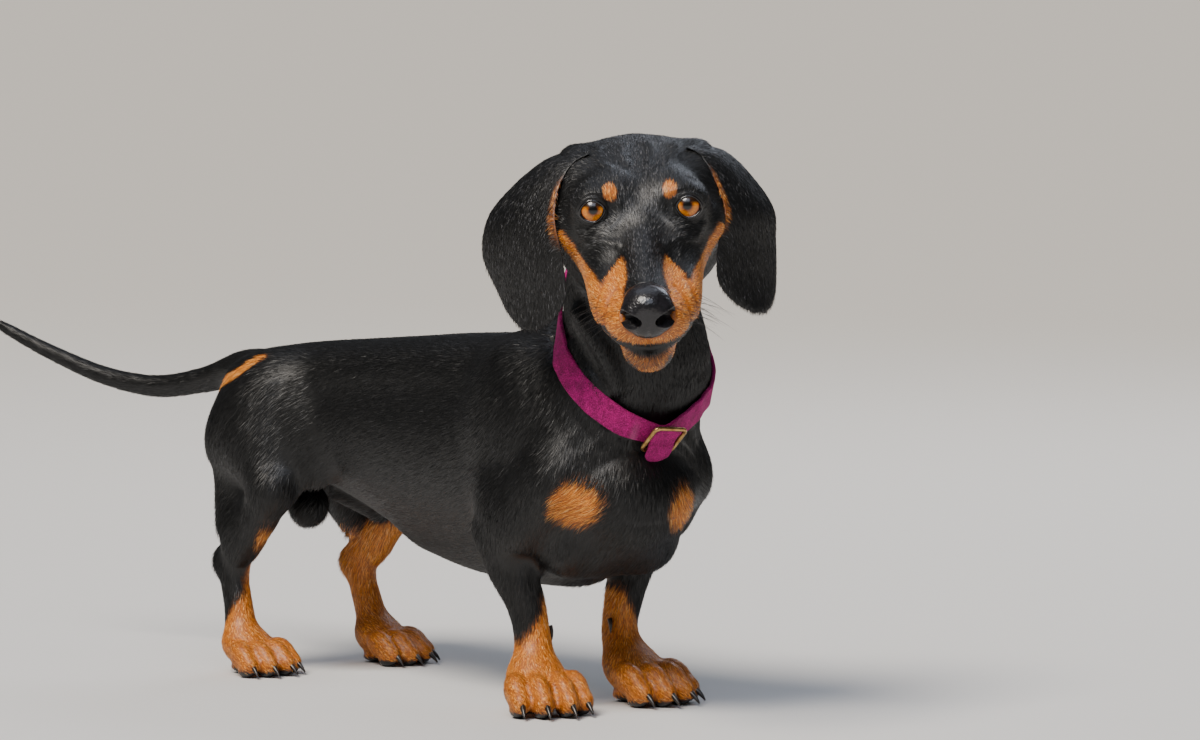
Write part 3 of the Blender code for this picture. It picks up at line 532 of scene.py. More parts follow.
def foot_forms(place, heading, scale):
    """An arched foot of four toes with pads, whose soles lie on the floor."""
    turn = Matrix.Rotation(math.radians(heading), 3, "Z")

    def at(forward, left, up):
        return place + turn @ Vector((forward, left, up)) * MM * scale

    def sized(*sizes):
        return [size * scale for size in sizes]

    forms = [Ball(at(-4, 0, 19), sized(19, 19, 15), 8, (0, 12, heading))]
    for forward, left, splay in TOES:
        facing = heading + splay
        forms += [
            # Knuckle, end of the toe, and the pad under it
            Ball(at(forward - 4, left, 15.5), sized(14, 7.4, 10.5), 3, (0, 24, facing)),
            Ball(at(forward + 6, left * 1.06, 9), sized(9.5, 6.8, 8.5), 3, (0, 8, facing)),
            Ball(at(forward + 3, left * 1.04, 4.2), sized(8, 6.0, 5), 2, (0, 0, facing)),
        ]
    forms.append(Ball(at(-7, 0, 5.2), sized(11, 13, 6.2), 3, (0, 0, heading)))
    return forms


def foreleg_forms(side):
    """Upper arm, bowed forearm, wrist and the broad forefoot, which turns out a little."""
    reach = FORE_STANCE[side]

    def at(along, left, up):
        return on_spine(along, side * left, up)

    heading = math.degrees(spine_heading(300 * MM)) + side * FOOT_TURN_OUT
    forms = [
        Strand(
            [(at(344, 42, 140), 17, 20), (at(312, 49, 120), 18, 23), (at(288, 51, 106), 14, 17)],
            14,
        ),
        Ball(at(300, 48, 126), (30, 17, 24), 12, (0, 28, -14)),
        Strand(
            [
                (at(288, 50, 106), 14.5, 16),
                (at(292 + reach * 0.3, 45, 88), 15, 17),
                (at(298 + reach * 0.7, 38, 64), 12, 13.5),
                (at(301 + reach, 35, 44), 11.5, 12.5),
                (at(305 + reach, 36, 28), 14, 13),
            ],
            8,
        ),
    ]
    forms += foot_forms(at(316 + reach, 39, 0), heading, 1.0)
    return forms


def mid(first, second, share, back=0):
    """A place between two others, as (along, left, up)."""
    along, left, up = (a + (b - a) * share for a, b in zip(first, second))
    return along - back, left, up


def hindleg_forms(side):
    """Thigh, bent knee, hock and the smaller hind foot; the left leg stands a little further forward."""
    knee, hock, foot = HIND_STANCE[side]

    def at(along, left, up):
        return on_spine(along, side * left, up)

    hip = (34, 44, 158)
    thigh = [
        (at(*hip), 22, 40),
        (at(*mid(knee, hip, 0.62)), 21, 26),
        (at(*knee), 14, 15),
    ]
    shank = [
        (at(*knee), 14, 15),
        (at(*mid(knee, hock, 0.35)), 12.5, 15),
        (at(*mid(knee, hock, 0.75)), 9.5, 12),
        (at(*hock), 9, 12),
    ]
    rear = [
        (at(16, 34, 132), 18, 20),
        (at(*mid(knee, hock, 0.55, 12)), 12, 17),
        (at(hock[0] + 3, hock[1], hock[2] + 14), 7, 8),
    ]
    metatarsus = [
        (at(*hock), 9.5, 11.5),
        (at(*mid(hock, foot, 0.5)), 9.5, 10.5),
        (at(foot[0] - 4, foot[1], 22), 11.5, 11),
    ]
    forms = [
        Strand(thigh, 14),
        Strand(shank, 9),
        Strand(rear, 12),
        Strand(metatarsus, 6),
        Ball(at(hock[0] - 6, hock[1], hock[2] + 4), (8.5, 8, 10), 6),
    ]
    return forms + foot_forms(at(foot[0] + 6, foot[1], 0), side * 6, HIND_FOOT_SCALE)


TAIL = [
    (on_spine(12, 0, 180), 20, 17),
    (on_spine(-12, -2, 186), 13.5, 12.5),
    (on_spine(-46, -6, 177), 9.6, 9.4),
    (on_spine(-85, -12, 171), 8.4, 8.2),
    (on_spine(-126, -20, 176), 7.2, 7),
    (on_spine(-168, -30, 190), 6, 6),
    (on_spine(-196, -37.5, 202), 5, 5),
    (on_spine(-203, -39.5, 205.5), 4.4, 4.4),
]


def body_forms():
    forms = trunk_forms() + neck_forms() + head_forms()
    forms.append(Strand(TAIL, blend=14, samples=36))
    for side in (LEFT, RIGHT):
        forms += foreleg_forms(side) + hindleg_forms(side)
    return forms


# The line between the lips, from the front to the corner of the mouth, in the head's millimetres
MOUTH_LINE = (
    (88.5, 0, -48.5), (88, 8, -47.3), (87, 14, -44.5), (83, 20, -41), (76, 24, -40), (60, 25, -42.5),
    (40, 25, -45.5), (20, 27, -46.5), (4, 28, -44),
)
# Half widths of the dark band along the mouth line: black lips, and at the front, where it is widest,
# painted shade under the upper lip
LIP_AND_SHADE_WIDTHS = (4.6, 4.8, 5.0, 4.4, 3.4, 2.8, 2.4, 2.2, 2.0)
# Furrows beside the nose, which the whiskers grow between
FURROWS = (
    ((52, 23, -21), (62, 25, -29), (66, 25, -38)),
    ((64, 18, -18), (73, 22, -27), (77, 22, -36)),
)
# Ridges of loose skin on the throat, down to the collar, along the spine, left of it and up
THROAT_FOLDS = (
    ((364, -39, 240), (373, -35, 229), (380, -29.5, 217), (383, -26, 207), (384, -23, 197)),
    ((355, -40, 219), (364, -37, 208), (372, -33, 199), (377, -28, 192)),
)
# Wrinkles over the crown, in the head's millimetres
CROWN_FOLDS = (
    ((-26, 6, 11), (-38, 9, 15), (-52, 7, 17)),
    ((-22, 16, 8), (-34, 21, 12), (-50, 22, 13)),
    ((-3, 40, 4), (-8, 37, 9), (-11, 29, 12)),
    ((9, 38, -10), (14, 31, -13), (20, 23, -12), (28, 15, -8)),
)


def on_surface(points, forms, depth):
    """Moves rows of points along the slope of the forms' field to a depth below their surface."""
    places = np.array(points, float)
    step = 0.3 * MM
    for _ in range(6):
        field = surface_field(forms, places)
        ahead = [surface_field(forms, places + step * axis) for axis in np.eye(3)]
        slope = (np.stack(ahead, axis=1) - field[:, None]) / step
        steep = np.maximum((slope**2).sum(axis=1), 0.2)
        places -= slope * np.clip((field + depth) / steep, -4 * MM, 4 * MM)[:, None]
    return places


def head_line(row, side):
    """A line's points on one side of the head, from its places on the left."""
    return [on_head(u, side * v, w) for u, v, w in row]


def line_on(forms, points, radius, depth, blend, samples=24):
    """A thin strand that follows the forms' surface, to be cut into it or laid on it."""
    places = on_surface(smooth_through(points, samples), forms, depth * MM)
    return Strand([(place, radius, radius) for place in places], blend, samples=samples)


def face_grooves(forms):
    """Lines pressed into the face: between the lips, under the nose, and the furrows of the muzzle."""
    middle = [on_head(*point) for point in ((95, 0, -38), (93, 0, -42), (90, 0, -46))]
    grooves = [line_on(forms, middle, 0.6, 0, 1.2, 8)]
    for side in (LEFT, RIGHT):
        grooves.append(line_on(forms, head_line(MOUTH_LINE, side), 1.0, 0, 1.4, 40))
        for furrow in FURROWS:
            grooves.append(line_on(forms, head_line(furrow, side), 0.5, 0, 2.5))
    return grooves


def loose_skin(forms):
    """Ridges of the throat's loose skin on the dog's right, and the wrinkles of crown and brow."""
    folds = [
        line_on(forms, [on_spine(*point) for point in row], 6.4 - i, 2.0, 4)
        for i, row in enumerate(THROAT_FOLDS)
    ]
    for side in (LEFT, RIGHT):
        for row in CROWN_FOLDS:
            folds.append(line_on(forms, head_line(row, side), 2.6, 2.0, 3))
    return folds


def new_object(name, mesh, material=None):
    obj = bpy.data.objects.new(name, mesh)
    bpy.context.scene.collection.objects.link(obj)
    if material is not None:
        obj.data.materials.clear()
        obj.data.materials.append(material)
    return obj


def bmesh_of(mesh):
    bm = bmesh.new()
    bm.from_mesh(mesh)
    return bm


def tree_of(mesh):
    """A tree of the mesh's faces, to cast rays at and find near places on."""
    bm = bmesh_of(mesh)
    tree = BVHTree.FromBMesh(bm)
    bm.free()
    return tree


def mesh_from(bm, name):
    mesh = bpy.data.meshes.new(name)
    bm.to_mesh(mesh)
    bm.free()
    return mesh


def evaluated_copy(obj, name):
    """The object's mesh with its modifiers applied, in place of the object."""
    bpy.context.view_layer.update()
    graph = bpy.context.evaluated_depsgraph_get()
    mesh = bpy.data.meshes.new_from_object(obj.evaluated_get(graph))
    mesh.name = name
    bpy.data.objects.remove(obj)
    return mesh


def rough_lumps(forms):
    bm = bmesh.new()
    for form in forms:
        for centre, axes, sizes in form.lumps():
            place = Matrix.Translation(Vector(centre))
            place = place @ Matrix(axes.tolist()).to_4x4() @ Matrix.Diagonal((*sizes, 1))
            bmesh.ops.create_icosphere(bm, subdivisions=2, radius=1.0, matrix=place)
    return mesh_from(bm, "lumps")


def remeshed(mesh, voxel):
    shell = new_object("shell", mesh)
    remesh = shell.modifiers.new("Join", "REMESH")
    remesh.mode = "VOXEL"
    remesh.voxel_size = voxel
    return evaluated_copy(shell, "skin")


def places_of(verts):
    return np.array([vert.co for vert in verts])


def normals_of(verts):
    return np.array([vert.normal for vert in verts])


def put(verts, places):
    for vert, place in zip(verts, places):
        vert.co = place


def coat_depth(points, settings):
    """How far the skin lies inside the tips of the coat."""
    face = np.linalg.norm(points - np.array(on_head(20, 0, -20)), axis=1)
    fine = part(115 * MM - face, 35 * MM)
    fine = np.maximum(fine, part(48 * MM - points[:, 2], 16 * MM))
    return settings.coat_depth * (1 - fine) + settings.face_depth * fine


def settle(bm, verts, forms, grooves, settings, rounds):
    """Moves vertices to the coat's depth below the forms' surface and keeps them evenly spread."""
    for step in range(rounds):
        if step < rounds - 1:
            bmesh.ops.smooth_vert(
                bm, verts=verts, factor=0.5, use_axis_x=True, use_axis_y=True, use_axis_z=True
            )
        bm.normal_update()
        places = places_of(verts)
        gap = surface_field(forms, places, grooves) + coat_depth(places, settings)
        places -= normals_of(verts) * np.clip(gap, -4 * MM, 4 * MM)[:, None]
        put(verts, places)


def refine(bm, centre, reach):
    """Divides the faces near a point once more; returns the vertices there."""
    centre = Vector(centre)
    edges = [edge for edge in bm.edges if all((vert.co - centre).length < reach for vert in edge.verts)]
    bmesh.ops.subdivide_edges(bm, edges=edges, cuts=1, use_grid_fill=True)
    return [vert for vert in bm.verts if (vert.co - centre).length < reach]


LID_OUTWARD = math.radians(6)
LID_UPWARD = math.radians(20)
CORNER_DROP = math.radians(10)


def lid_frame(side):
    """The opening's axes from the eye's centre: towards the outer corner, up, and out of the eye."""
    out = Matrix.Rotation(side * LID_OUTWARD, 3, "Z") @ Vector(
        (math.cos(LID_UPWARD), 0, math.sin(LID_UPWARD))
    )
    out = HEAD.to_3x3() @ out
    aside = head_direction(0, side, 0)
    aside = (aside - out * aside.dot(out)).normalized()
    up = out.cross(aside) * side
    return np.array([aside, up, out])


def eye_centre(side):
    return np.array(HEAD @ Vector((0, side * EYE_SPREAD, 0)))


def opening_angle(around, eyes):
    """How far the lids open from the middle, at an angle round from the outer corner over the top."""
    around = around + CORNER_DROP
    height = eyes.opening_height * np.where(np.sin(around) > 0, 0.9, 1.0)
    across = np.abs(np.cos(around)) / eyes.opening
    over = np.abs(np.sin(around)) / height
    return (across**1.65 + over**1.65) ** (-1 / 1.65)


def polar_at_eye(points, side, eyes):
    """Distance from the eye's centre, share of the opening, angle round it, and direction, for rows."""
    offset = points - eye_centre(side)
    local = offset @ lid_frame(side).T
    distance = np.linalg.norm(offset, axis=1)
    away = np.arccos(np.clip(local[:, 2] / distance, -1, 1))
    around = np.arctan2(local[:, 1], local[:, 0])
    return distance, away / opening_angle(around, eyes), around, offset / distance[:, None]


def bump(value, middle, width):
    return np.exp(-(((value - middle) / width) ** 2))


def open_lids(bm, verts, eyes):
    """Presses the opening between the lids into the skin, with a crease above it and a pouch below."""
    for side in (LEFT, RIGHT):
        places = places_of(verts)
        distance, share, around, heading = polar_at_eye(places, side, eyes)
        near = (distance < 17 * MM) & (share < 2.4)
        lid = np.interp(share, [0.9, 1.0, 1.12, 1.35], [8.8, 10.5, 11.0, 11.2]) * MM
        upper = np.clip(np.sin(around + CORNER_DROP) * 1.6, 0, 1)
        lower = np.clip(-np.sin(around + CORNER_DROP) * 1.6, 0, 1)
        beyond = part(share - 1.35, 0.4)
        outer = np.maximum(distance, 11.2 * MM)
        radius = np.where(share < 1.35, lid, lid * (1 - beyond) + outer * beyond)
        radius = radius + upper * 0.8 * MM * bump(share, 1.28, 0.12)
        radius = radius - upper * 1.1 * MM * bump(share, 1.58, 0.1)
        radius = radius + lower * 0.4 * MM * bump(share, 1.28, 0.12)
        radius = radius - lower * 0.7 * MM * bump(share, 1.6, 0.12)
        places[near] = eye_centre(side) + heading[near] * radius[near, None]
        put(verts, places)


def ear_rows(side, count):
    """Stations down an ear: centre, direction across it, direction off its outer face, and width."""
    flat_head = np.array(Matrix.Rotation(HEAD_TURN, 3, "Z"))
    rows = smooth_through(EAR_HANG[side], count)
    centres = rows[:, :3] @ flat_head.T * MM + np.array(HEAD_PLACE)
    turn = np.radians(rows[:, 4])
    level = np.zeros(len(rows))
    across = np.stack([np.sin(turn), -side * np.cos(turn), level], axis=1) @ flat_head.T
    face = np.stack([np.cos(turn), side * np.sin(turn), level], axis=1) @ flat_head.T
    return centres, across, face, rows[:, 3] * MM


def bridged(bm, loops, closed):
    """Bridges loops of edges into one closed skin, round again to the first or capped at the ends."""
    for first, second in zip(loops, loops[1:] + loops[:1] if closed else loops[1:]):
        bmesh.ops.bridge_loops(bm, edges=first + second)
    if not closed:
        for loop in (loops[0], loops[-1]):
            bmesh.ops.holes_fill(bm, edges=loop, sides=0)
    bmesh.ops.recalc_face_normals(bm, faces=bm.faces)


def swept(bm, rings, closed):
    """Bridges rings of points."""
    loops = []
    for ring in rings:
        verts = [bm.verts.new(point) for point in ring]
        loops.append([bm.edges.new((verts[i], verts[(i + 1) % len(verts)])) for i in range(len(verts))])
    bridged(bm, loops, closed)


EAR_ROWS, EAR_AROUND = 56, 72
EAR_CURL = 0.06


def ear_mesh(side, settings):
    """A leaf of skin that hangs from the skull in soft ripples, its front edge rolled outwards."""
    centres, across, face, widths = ear_rows(side, EAR_ROWS)
    bm = bmesh.new()
    rings = []
    for row in range(EAR_ROWS):
        down = row / (EAR_ROWS - 1)
        width = widths[row] - 2.2 * MM * min(1, widths[row] / (30 * MM))
        thick = settings.ear_thickness * min(1, width / (24 * MM))
        ring = []
        for step in range(EAR_AROUND):
            a = 2 * math.pi * step / EAR_AROUND
            share = math.copysign(abs(math.cos(a)) ** 0.8, math.cos(a))
            x = share * width / 2
            y = math.copysign(abs(math.sin(a)) ** 0.7, math.sin(a)) * thick / 2
            y -= EAR_CURL * width * share**2
            y += 0.5 * MM * math.sin(share * 4.5 + down * 5) * math.sin(math.pi * down)
            ring.append(centres[row] + across[row] * x + face[row] * y)
        rings.append(ring)
    swept(bm, rings, closed=False)
    return mesh_from(bm, "ear")


def joined_with(mesh, other):
    obj = new_object("skin", mesh)
    added = new_object("added", other)
    join = obj.modifiers.new("Join", "BOOLEAN")
    join.operation = "UNION"
    join.object = added
    result = evaluated_copy(obj, "skin")
    bpy.data.objects.remove(added)
    return result


def soft_block(local, centre, sizes, soft):
    """1 inside an ellipsoid, falling to 0 outside it over a share of its size."""
    away = np.linalg.norm((local - np.array(centre)) / np.array(sizes), axis=1)
    return part(1 - away, soft, 0.5)


def beside_line(local, line, widths):
    """1 beside a line through points, 0 further off than its width there, which is given per point."""
    path = smooth_through([(*point, width) for point, width in zip(line, widths)], 40)
    gaps = np.linalg.norm(local[:, None, :] - path[None, :, :3], axis=2)
    nearest = gaps.argmin(axis=1)
    wide = path[nearest, 3]
    return part(wide - gaps.min(axis=1), wide * 0.35, 0.5)


def ear_share(points, side):
    """Where a point is across its ear, from -1 at the back edge to 1 at the front, and down it."""
    centres, across, face, widths = ear_rows(side, EAR_ROWS)
    gaps = np.abs(points[:, None, 2] - centres[None, :, 2])
    gaps += np.linalg.norm(points[:, None, :] - centres[None], axis=2) * 0.2
    row = gaps.argmin(axis=1)
    offset = points - centres[row]
    return (offset * across[row]).sum(axis=1) / (widths[row] / 2), row / (EAR_ROWS - 1)


def on_one_side(points):
    """Rows of points with those of the right laid over the left, as the two sides are alike."""
    return np.stack([points[:, 0], np.abs(points[:, 1]), points[:, 2]], axis=1)


def face_markings(head):
    """Tan of the head, for points in the head's millimetres."""
    both = on_one_side(head)
    u, aside, w = both.T
    tan = soft_block(both, (3.3, 17, 11.8), (7.5, 4.0, 5.0), 0.35)
    # The muzzle's sides, below the dark bridge and ahead of the dark wedge under the eye
    inner = np.interp(u, [25, 36, 46, 60, 70, 86], [16, 12.8, 10.8, 10.4, 12.5, 13])
    wedge = np.interp(aside, [12, 18, 22, 24.5, 27.5, 31], [34, 40, 48, 53, 50, 34])
    wedge = np.where(w < -31, 18, wedge)
    sides = part(aside - inner, 2.5, 0.5) * part(u - wedge, 4, 0.5)
    sides *= part(w + 62, 4) * part(-10 - w, 2)
    tan = np.maximum(tan, sides)
    streak = ((-3, 45, -18), (1, 42, -23), (6, 38, -29), (22, 34.5, -30), (40, 31, -29), (52, 28, -29))
    tan = np.maximum(tan, beside_line(both, streak, (4.4, 6, 6.6, 6.4, 6.6, 7)))
    # Dark spots that the whiskers grow from
    for forward, up in whisker_places():
        tan = tan - 0.7 * bump(np.hypot(u - forward, w - up), 0, 0.9) * (aside > 11)
    # The lip under the nose, the chin and the underside of the jaw
    tan = np.maximum(tan, part(u - 78, 3) * part(w + 50, 3) * (w < -31) * 0.85)
    half = np.interp(w, [-72, -66, -58, -52, -46, -40], [2, 5, 9.5, 15, 21, 25])
    half = np.where(u < 66, np.interp(u, [20, 66], [6, 12]), half)
    chin = part(half - aside, 4, 0.5) * part(u - 16, 10)
    below = np.interp(aside, [0, 8, 14, 20, 24], [-50, -49, -46, -42, -41])
    # The chin and the jaw's underside get about half their tan: painted shade, as they face down
    return np.maximum(tan, chin * part(below - w, 2) * 0.52)


def whisker_places():
    """Where whiskers grow on the side of the muzzle, forward and up in the head's millimetres."""
    for row in range(4):
        for place in range(5):
            yield 85 - place * 6.5 - row * 2, -24 - row * 4.2 - place * 0.9


# From the nape over the forehead and down the bridge, in the head's millimetres: the middle line of the
# painted sheen
SHEEN_MIDDLE = ((-56, 0, 15), (-20, 0, 11), (14, 0, 0), (46, 0, -8), (78, 0, -12))


def painted_sheen(points, ears):
    """Painted sheen, as light grey hairs in the black: forehead, bridge, round the eyes and on the ears."""
    both = on_one_side(in_head(points))
    sheen_share = 0.45 * np.abs(ears)
    sheen_share = np.maximum(sheen_share, beside_line(both, SHEEN_MIDDLE, (20, 17, 11, 11, 11)))
    sheen_share = np.maximum(sheen_share, 0.6 * beside_line(both, CROWN_FOLDS[2], (5, 5, 5)))
    return np.maximum(sheen_share, 0.5 * beside_line(both, CROWN_FOLDS[3], (3, 4, 4, 4)))


def lip_and_shade_share(head, share=1):
    """Black lips, and painted shade under the upper lip where the band is widest, for points in the head's
    millimetres.
    """
    return beside_line(on_one_side(head), MOUTH_LINE, [width * share for width in LIP_AND_SHADE_WIDTHS])


# From the top of the root of the tail round to the vent, along the spine, left of it and up
VENT_PATCH = ((48, 45, 199), (33, 52, 191), (16, 50, 186), (2, 34, 178), (-6, 14, 170))


def markings(points):
    """How tan each point is, from 0, black, to 1; skin and coat are coloured by the same rule."""
    head, spine = in_head(points), in_spine(points)
    both = on_one_side(spine)
    along, aside, up = both.T
    on_face = (head[:, 0] > -60) & (head[:, 2] > -75) & (head[:, 2] < 40)
    tan = np.where(on_face, face_markings(head), 0)
    tan = np.where(on_face, tan * (1 - lip_and_shade_share(head)), tan)
    # Two spots on the breast, one by each shoulder, not quite alike
    tan = np.maximum(tan, soft_block(spine, (370, -41, 128), (24, 12.5, 14), 0.75))
    tan = np.maximum(tan, soft_block(spine, (384, 22, 126), (20, 10.5, 13), 0.75))
    # Round the root of the tail and the vent
    tan = np.maximum(tan, beside_line(both, VENT_PATCH, (3, 4.8, 5.2, 5, 5)))
    # Feet, the front of the wrists and the inner side of the legs
    fore = (along > 230) & (along < 360) & (up < 118)
    height = np.interp(up, [18, 40, 62, 118], [40, 8, -4, -12])
    inside = part(38 + height - aside, 5, 0.5) * part(73 - up, 6)
    inside *= part(aside - 18, 4)
    ahead = part(along - 302 - (up - 30) * 0.35, 5) * part(74 - up, 10)
    tan = np.where(fore, np.maximum(tan, np.maximum(inside, ahead)), tan)
    hind = (along < 130) & (up < 135)
    height = np.interp(up, [14, 34, 70, 135], [40, 4, -3, -8])
    inside = part(48 + height - aside, 5, 0.5) * part(92 - up, 14)
    front = part(along - 36 - (up - 60) * 0.5, 5) * part(98 - up, 12)
    inside = np.maximum(inside, front) * part(aside - 24, 5)
    tan = np.where(hind, np.maximum(tan, inside), tan)
    return tan


def wobble(points, size, seed):
    """A soft random number from -1 to 1 at each point, which changes over a length in metres."""
    shift = Vector((seed * 13.7, seed * 7.1, seed * 3.3))
    return np.array([noise.noise(Vector(point) / size + shift) for point in points])


def store(mesh, name, values):
    found = mesh.attributes.get(name) or mesh.attributes.new(name, "FLOAT", "POINT")
    found.data.foreach_set("value", np.asarray(values, np.float32))


def rows_of(items, key, width, kind=np.float32):
    """Rows of a value that every item of a mesh's list has."""
    values = np.zeros(len(items) * width, kind)
    items.foreach_get(key, values)
    return values.reshape(-1, width)


def points_of(mesh):
    return rows_of(mesh.vertices, "co", 3).astype(float)


def linear(hex_colour):
    """An sRGB colour written as RRGGBB, as linear RGBA."""
    found = []
    for start in (0, 2, 4):
        value = int(hex_colour[start : start + 2], 16) / 255
        found.append(value / 12.92 if value <= 0.04045 else ((value + 0.055) / 1.055) ** 2.4)
    return (*found, 1.0)


def feed(node, inputs):
    """Give a node's inputs their values, their colours from hex codes, or the outputs they follow."""
    for name, value in inputs.items():
        if isinstance(value, bpy.types.NodeSocket):
            node.id_data.links.new(value, node.inputs[name])
        else:
            node.inputs[name].default_value = linear(value) if isinstance(value, str) else value


def add_node(tree, kind, inputs, output, stops=(), **settings):
    """Add a shader node with its settings, its colour stops and its inputs; returns one output."""
    made = tree.nodes.new("ShaderNode" + kind)
    for name, value in settings.items():
        setattr(made, name, value)
    for number, (place, colour) in enumerate(stops):
        if number > 1:
            made.color_ramp.elements.new(0.5)
    for number, (place, colour) in enumerate(stops):
        made.color_ramp.elements[number].position = place
        made.color_ramp.elements[number].color = linear(colour)
    feed(made, inputs)
    return made.outputs[output]


def new_material(name, **values):
    """A material whose Principled shader has these values on its own sockets.

    Returns it, what adds nodes to it, and the shader."""
    made = bpy.data.materials.new(name)
    made.use_nodes = True
    shader = made.node_tree.nodes["Principled BSDF"]
    feed(shader, {socket.replace("_", " "): value for socket, value in values.items()})
    return made, partial(add_node, made.node_tree), shader


# Inputs and output of a Mix node that mixes colours
FIRST, SECOND, MIXED = 6, 7, 2


def hide_material():
    """Dog hide under a short coat: dark where black and warm where tan, so no gap shows light."""
    made, add, shader = new_material("dog hide", Roughness=0.42, IOR=1.5)
    where = add("TexCoord", {}, "Object")
    # Skin's own grain is 0.1 to 0.3 mm; blots of 1.2 and pores of 0.8 mm are what still shows
    mottle = add("TexNoise", {"Vector": where, "Scale": 1 / (1.2 * MM), "Detail": 4.0}, "Fac")
    black = add(
        "ValToRGB", {"Fac": mottle}, "Color", ((0.3, "030303"), (0.6, "080808"), (0.75, "121213"))
    )
    tan = add("ValToRGB", {"Fac": mottle}, "Color", ((0.3, "82400A"), (0.7, "BE6E22")))
    share = add("Attribute", {}, "Fac", attribute_name="tan")
    coat = add("Mix", {0: share, FIRST: black, SECOND: tan}, MIXED, data_type="RGBA")
    share = add("Attribute", {}, "Fac", attribute_name="bare")
    bare = add("Mix", {0: share, FIRST: coat, SECOND: "070607"}, MIXED, data_type="RGBA")
    pores = add("TexNoise", {"Vector": where, "Scale": 1 / (0.8 * MM), "Detail": 3.0}, "Fac")
    rough = add("Bump", {"Height": pores, "Strength": 0.5, "Distance": 0.3 * MM}, "Normal")
    feed(shader, {"Base Color": bare, "Normal": rough})
    return made


def hair_material():
    """Short smooth dog hair: straight and glossy, so that the black takes a grey-blue shine."""
    made, add, shader = new_material(
        "short glossy hair", Roughness=0.46, IOR=1.5, Sheen_Weight=0.03, Sheen_Roughness=0.4,
        Specular_IOR_Level=0.46,
    )
    chance = add("Attribute", {}, "Fac", attribute_name="chance")
    # The lightest stops of the black are painted sheen: tufts reach them mostly through the sheen share
    # added to their tone
    black = add(
        "ValToRGB", {"Fac": chance}, "Color",
        ((0.0, "020202"), (0.6, "050505"), (0.9, "0C0C0C"), (0.96, "1C1C1D"), (1.0, "545356")),
    )
    tan = add(
        "ValToRGB", {"Fac": chance}, "Color",
        ((0.0, "A6510C"), (0.45, "DE8122"), (0.85, "F6A644"), (1.0, "FFCE8C")),
    )
    share = add("Attribute", {}, "Fac", attribute_name="tan")
    coat = add("Mix", {0: share, FIRST: black, SECOND: tan}, MIXED, data_type="RGBA")
    feed(shader, {"Base Color": coat})
    return made


def lid_material():
    """Bare black skin at the rims of the lids, kept wet by tears."""
    made, add, shader = new_material("wet lid skin", Roughness=0.22, IOR=1.45, Coat_Weight=0.6)
    where = add("TexCoord", {}, "Object")
    # The folds of a lid's rim are about 0.2 mm; drawn at 0.5 mm, with blots of 1.5 mm
    blots = add("TexNoise", {"Vector": where, "Scale": 1 / (1.5 * MM), "Detail": 3.0}, "Fac")
    shade = add("ValToRGB", {"Fac": blots}, "Color", ((0.3, "060506"), (0.8, "151214")))
    pores = add("TexNoise", {"Vector": where, "Scale": 1 / (0.5 * MM), "Detail": 3.0}, "Fac")
    rough = add("Bump", {"Height": pores, "Strength": 0.25, "Distance": 0.1 * MM}, "Normal")
    feed(shader, {"Base Color": shade, "Normal": rough})
    return made


def eye_material():
    """An amber iris with fine spokes under a clear wet cornea, a dark pupil, and painted lid shade on the
    iris's top.
    """
    made, add, shader = new_material(
        "amber eye under a wet cornea", Roughness=0.3, IOR=1.38, Coat_Weight=1.0, Coat_Roughness=0.01,
        Coat_IOR=1.4,
    )
    gaze = add("UVMap", {}, "UV", uv_map="gaze")
    centred = add("VectorMath", {0: gaze, 1: (0.5, 0.5, 0.0)}, "Vector", operation="SUBTRACT")
    reach = add("VectorMath", {0: centred}, "Value", operation="LENGTH")
    across = add("SeparateXYZ", {"Vector": centred}, "X")
    up = across.node.outputs["Y"]
    angle = add("Math", {0: up, 1: across}, "Value", operation="ARCTAN2")
    spoke_place = add("CombineXYZ", {"X": angle, "Y": reach, "Z": 0.0}, "Vector")
    stretched = add("Mapping", {"Vector": spoke_place, "Scale": (9.0, 6.0, 1.0)}, "Vector")
    # A real iris has hundreds of threads; about fifty bundles of them are drawn, so that they show
    spokes = add("TexNoise", {"Vector": stretched, "Scale": 1.6, "Detail": 4.0}, "Fac")
    wavy = add("Math", {0: spokes, 1: 0.035, 2: reach}, "Value", operation="MULTIPLY_ADD")
    # The map is 20 mm across, so that 0.05 on it is 1 mm
    iris = add(
        "ValToRGB", {"Fac": wavy}, "Color",
        (
            (0.0, "020101"), (0.12, "030201"), (0.145, "4E2406"), (0.18, "A35C10"), (0.25, "E89420"),
            (0.32, "DC8012"), (0.355, "5A2604"), (0.375, "0E0603"), (0.405, "241512"), (0.48, "9A8680"),
        ),
    )
    flecks = add("ValToRGB", {"Fac": spokes}, "Color", ((0.3, "8A5A28"), (0.62, "FFF0D0")))
    patterned = add(
        "Mix", {0: 0.6, FIRST: iris, SECOND: flecks}, MIXED, data_type="RGBA", blend_type="MULTIPLY"
    )
    # Painted shade of the upper lid: the upper half of the iris is darkened to a near black brown
    over = add(
        "MapRange", {"Value": up, "From Min": 0.01, "From Max": 0.13, "To Min": 0.0, "To Max": 0.97},
        "Result", interpolation_type="SMOOTHSTEP",
    )
    shaded = add("Mix", {0: over, FIRST: patterned, SECOND: "0A0503"}, MIXED, data_type="RGBA")
    feed(shader, {"Base Color": shaded})
    return made


def nose_material():
    """Moist pebbled nose leather: near black, with a wet gloss that breaks up on its pebbles."""
    made, add, shader = new_material(
        "moist nose leather", Roughness=0.32, IOR=1.45, Coat_Weight=0.35, Coat_Roughness=0.12,
    )
    where = add("TexCoord", {}, "Object")
    blots = add("TexNoise", {"Vector": where, "Scale": 1 / (3 * MM), "Detail": 3.0}, "Fac")
    tone = add("ValToRGB", {"Fac": blots}, "Color", ((0.3, "0C0B0D"), (0.75, "1F1C20")))
    # The pebbles of a dog's nose are about 1 mm across, as here
    pebbles = add(
        "TexVoronoi", {"Vector": where, "Scale": 1 / (1.1 * MM)}, "Distance", feature="SMOOTH_F1"
    )
    domes = add("Math", {0: 1.0, 1: pebbles}, "Value", operation="SUBTRACT")
    rough = add("Bump", {"Height": domes, "Strength": 0.55, "Distance": 0.35 * MM}, "Normal")
    feed(shader, {"Base Color": tone, "Normal": rough})
    return made


